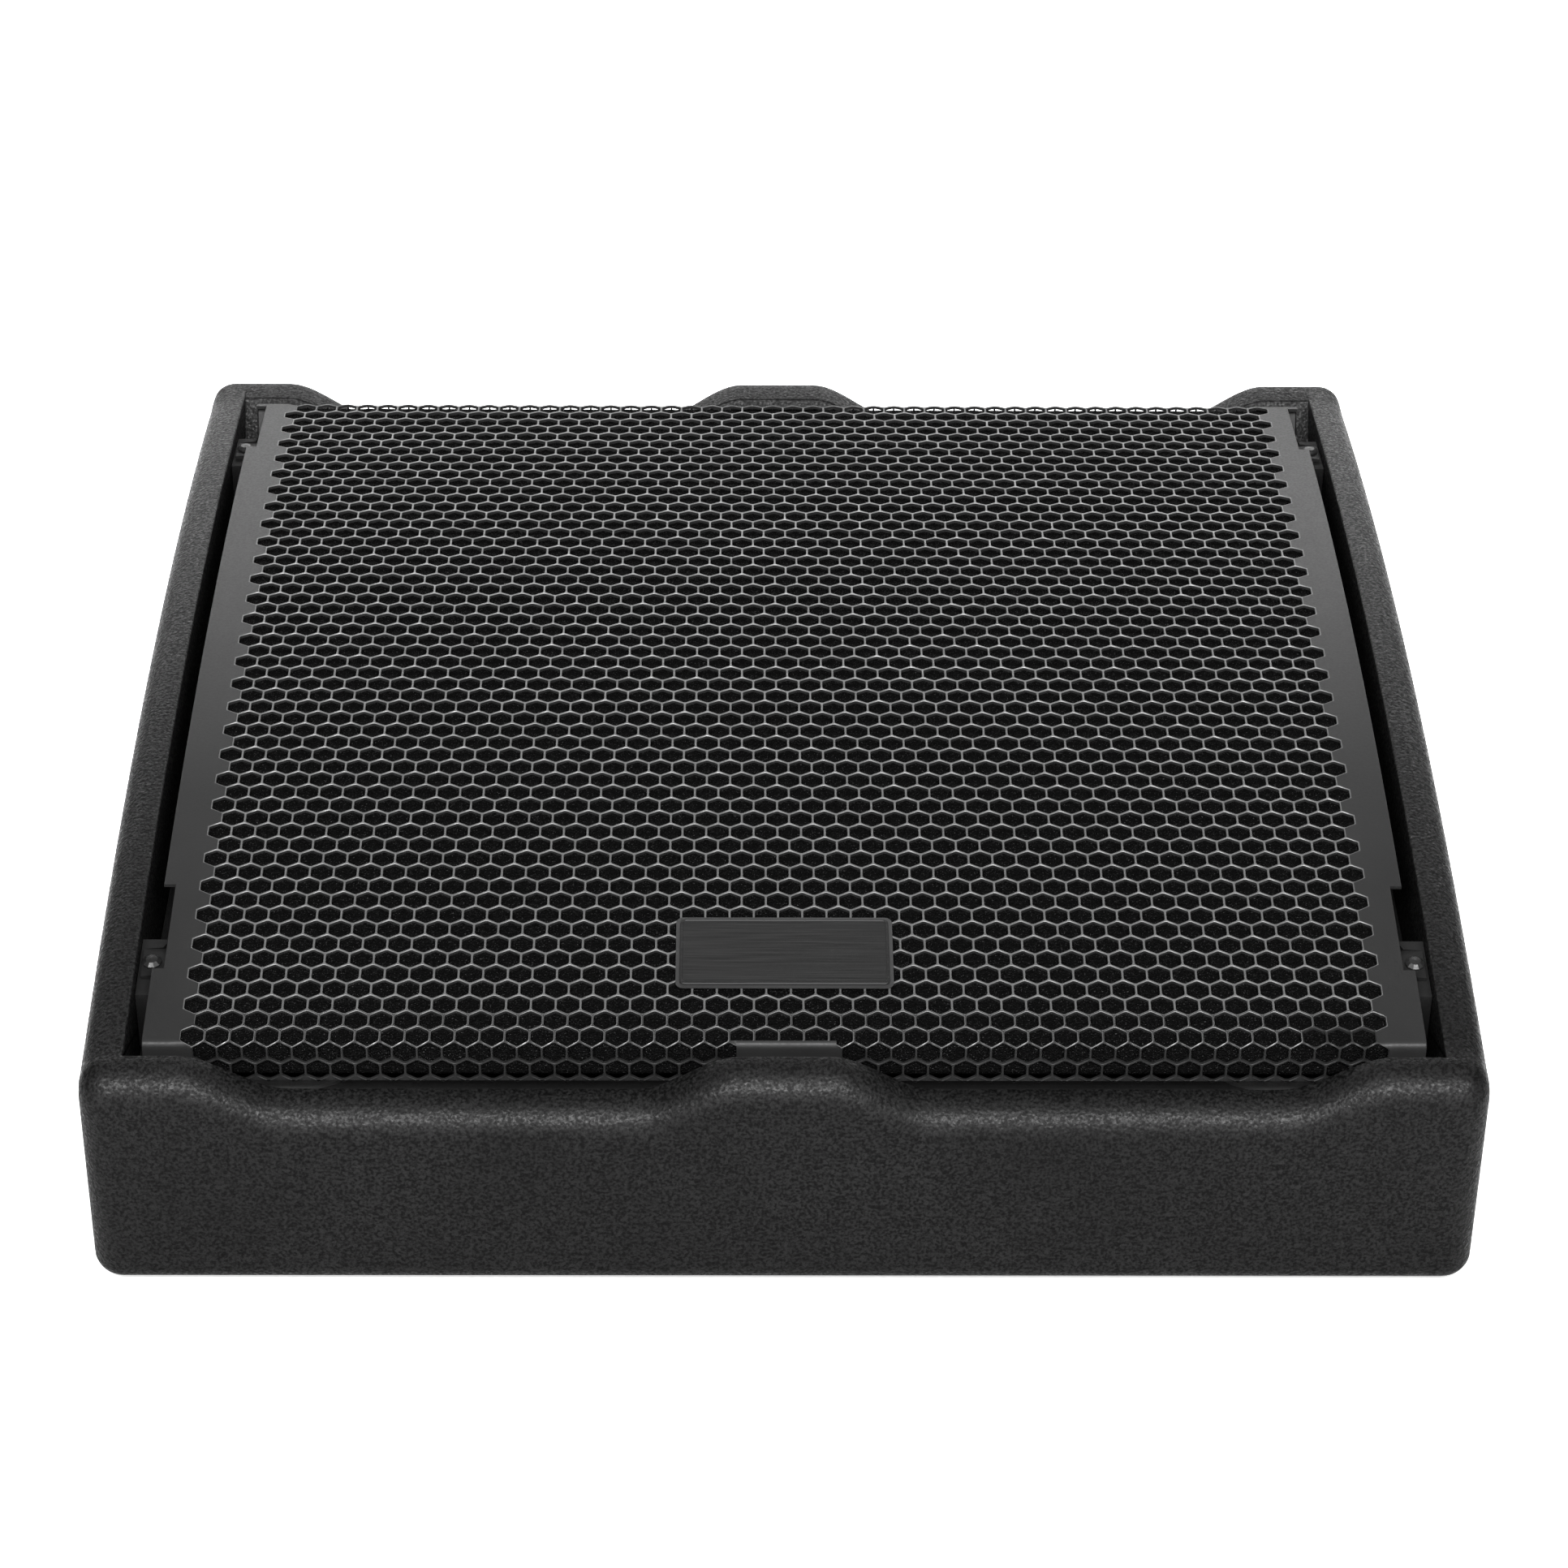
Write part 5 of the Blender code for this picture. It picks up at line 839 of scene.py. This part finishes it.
knob_plastic = moulded("soft_black_knob", 0.012, 0.020, 0.5, 0.7, scale=1200.0)
knob = turned_piece("level_knob_cap", [
    (0.0, 0.0009, 0), (0.0062, 0.0009, 0), (0.0073, 0.0009, 1), (0.0075, 0.0012, 1), (0.0073, 0.0058, 1),
    (0.0070, 0.0066, 1), (0.0064, 0.0071, 0.4), (0.0058, 0.0073, 0), (0.0054, 0.0072, 0), (0.0050, 0.0069, 0),
    (0.0, 0.0069, 0)], [KNOB_SPOT], knob_plastic, body="level_knob", slot="black_plastic",
    steps=8 * KNURLS, ripple=(KNURLS, KNURL_DEPTH))
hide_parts("level_knob")
PRINT_DEPTH = 0.0002
white_print = moulded("white_print", 0.50, 0.62, 0.5, 0.65, scale=1500.0)


def print_marks(name, spot, angles, inner, outer, width, height, body="cabinet"):
    """Flat printed strokes: each runs from an inner to an outer radius round a spot, at an angle from
    straight up, and its face stands at a height off the panel, just proud of what it is printed on."""
    points, faces = [], []
    for angle in angles:
        across = np.array([math.cos(angle), -math.sin(angle)])
        out = np.array([math.sin(angle), math.cos(angle)])
        square = np.array([(-1, 0), (1, 0), (1, 1), (-1, 1)])
        flat = square[:, :1] * width / 2 * across + (inner + square[:, 1:] * (outer - inner)) * out + spot
        rings = [np.column_stack([flat[:, 0], np.full(4, PANEL_Y + high), flat[:, 1]])
                 for high in (height - PRINT_DEPTH, height)]
        middle = np.tile(rings[1].mean(0), (4, 1))
        faces.append(grid_faces(3, 4, wrap_columns=True, start=12 * len(faces))[:, ::-1])
        points.append(np.concatenate([*rings, middle]))
    piece = surface(name, np.concatenate(points), faces, body=body, slot="black_plastic", sharp=20)
    piece.data.materials.append(white_print)
    return piece


scale_angles = np.radians(np.linspace(-150, 150, 11))
print_marks("level_scale", KNOB_SPOT, scale_angles, 0.0095, 0.0122, 0.0006, 0.00010)
print_marks("level_pointer", KNOB_SPOT, [0.0], 0.0012, 0.0048, 0.0008, 0.00698, body="level_knob")

plated = moulded("bright_zinc_plate", 0.42, 0.58, 0.26, 0.40, scale=1500.0, metallic=1.0, bump=0.00002)
black_screw = moulded("black_zinc_screw", 0.016, 0.030, 0.32, 0.45, scale=1500.0, metallic=0.6, bump=0.00003)
bezel_profile = [(0.0022, 0.0004), (0.0025, 0.0010), (0.0030, 0.0012), (0.0034, 0.0009), (0.0035, 0.0)]
turned_piece("lamp_bezel", bezel_profile, [LAMP_SPOT], plated, slot="plated_steel")
lamp_turn = np.linspace(math.pi / 2, 0, 9)
lamp_glass = moulded("green_lamp_lens", 0.20, 0.30, 0.08, 0.16, scale=900.0, tint=(0.15, 1.0, 0.30))
LENS_RADIUS, LENS_FOOT, LENS_RISE = 0.0022, 0.0006, 0.0016
lens_profile = [(LENS_RADIUS * math.cos(turn), LENS_FOOT + LENS_RISE * math.sin(turn)) for turn in lamp_turn]
turned_piece("power_lamp", lens_profile + [(LENS_RADIUS, 0.0)], [LAMP_SPOT], lamp_glass, slot="black_plastic")
SOCKET_X, SOCKET_Z, FLANGE_SCREW_X, FLANGE_SCREW_Z = (0.118, 0.080, -0.080, -0.118), 0.186, 0.0100, 0.0128
socket_screws = [(-x + sign * FLANGE_SCREW_X, SOCKET_Z + sign * FLANGE_SCREW_Z)
                 for x in SOCKET_X for sign in (-1, 1)]
screw_profile = [(0.0, 0.0011), (0.0005, 0.0011), (0.0006, 0.0020), (0.0012, 0.0022), (0.0019, 0.0017),
                 (0.0021, 0.0009), (0.0021, 0.0)]
turned_piece("socket_screws", screw_profile, socket_screws, black_screw, slot="dark_screw", steps=24)

# Everything else keeps the shape it was made in, and takes its own finish: black-stain boards darkened
# further with painted shade, cast and pressed metal, paper, cloth, ferrite, copper, laminate and rubber.
cone_paper = moulded("pressed_paper_cone", 0.012, 0.022, 0.80, 0.95, scale=260.0, bump=0.0003, specular=0.25)
# Baffle and grille ribs: black stain, darkened further as painted shade for the recess under the grille.
stain_and_painted_shade = moulded("black_plywood_stain_and_painted_shade", 0.003, 0.007, 0.70, 0.90, scale=300.0, bump=0.0003, specular=0.25)
cast = moulded("black_cast_alloy", 0.020, 0.040, 0.45, 0.65, scale=420.0, metallic=0.5, bump=0.0002)
cloth = moulded("treated_cloth", 0.010, 0.018, 0.65, 0.85, scale=1400.0, bump=0.0003, specular=0.3)
finishes = {
    stain_and_painted_shade: ["baffle_board", "left_grille_rib", "right_grille_rib"],
    cast: ["driver_basket", "high_driver"],
    moulded("black_anodised_fins", 0.018, 0.030, 0.38, 0.52, scale=1100.0, metallic=0.7): ["heatsink"],
    cone_paper: ["cone"],
    cloth: ["cone_surround", "driver_gasket"],
    moulded("resin_dipped_cotton", 0.25, 0.34, 0.75, 0.9, scale=1400.0, tint=(1.0, 0.72, 0.38)): ["spider"],
    moulded("enamelled_copper", 0.45, 0.60, 0.3, 0.4, scale=1400.0, metallic=1.0, tint=(1.0, 0.55, 0.32)):
        ["voice_coil"],
    plated: ["top_plate", "back_plate", "power_supply", "level_potentiometer", "input_latch"]
            + [f"driver_bolt_{i}" for i in range(1, 9)],
    moulded("ground_ferrite", 0.045, 0.065, 0.6, 0.8, scale=700.0): ["magnet_ring"],
    black_plastic: ["horn", "left_port_tube", "right_port_tube", "signal_input", "signal_link", "mains_inlet",
                    "mains_link", "preset_switch"],
    moulded("grey_push_button", 0.16, 0.20, 0.45, 0.6, scale=1200.0): ["preset_button"],
    coat: ["amp_panel"],
    moulded("green_circuit_laminate", 0.10, 0.14, 0.35, 0.5, scale=900.0, tint=(0.18, 1.0, 0.35)):
        ["amp_board"],
    black_screw: [f"{kind}_screw_{i}" for kind in ("amp", "grille") for i in range(1, 5)],
    moulded("black_rubber", 0.010, 0.018, 0.75, 0.92, scale=800.0, bump=0.0002, specular=0.3):
        [f"foot_{i}" for i in range(1, 5)],
    moulded("red_lead_sleeve", 0.20, 0.26, 0.4, 0.55, scale=900.0, tint=(1.0, 0.10, 0.08)): ["driver_lead"],
}
for material, names in finishes.items():
    for name in names:
        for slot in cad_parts[name].material_slots:
            slot.material = material
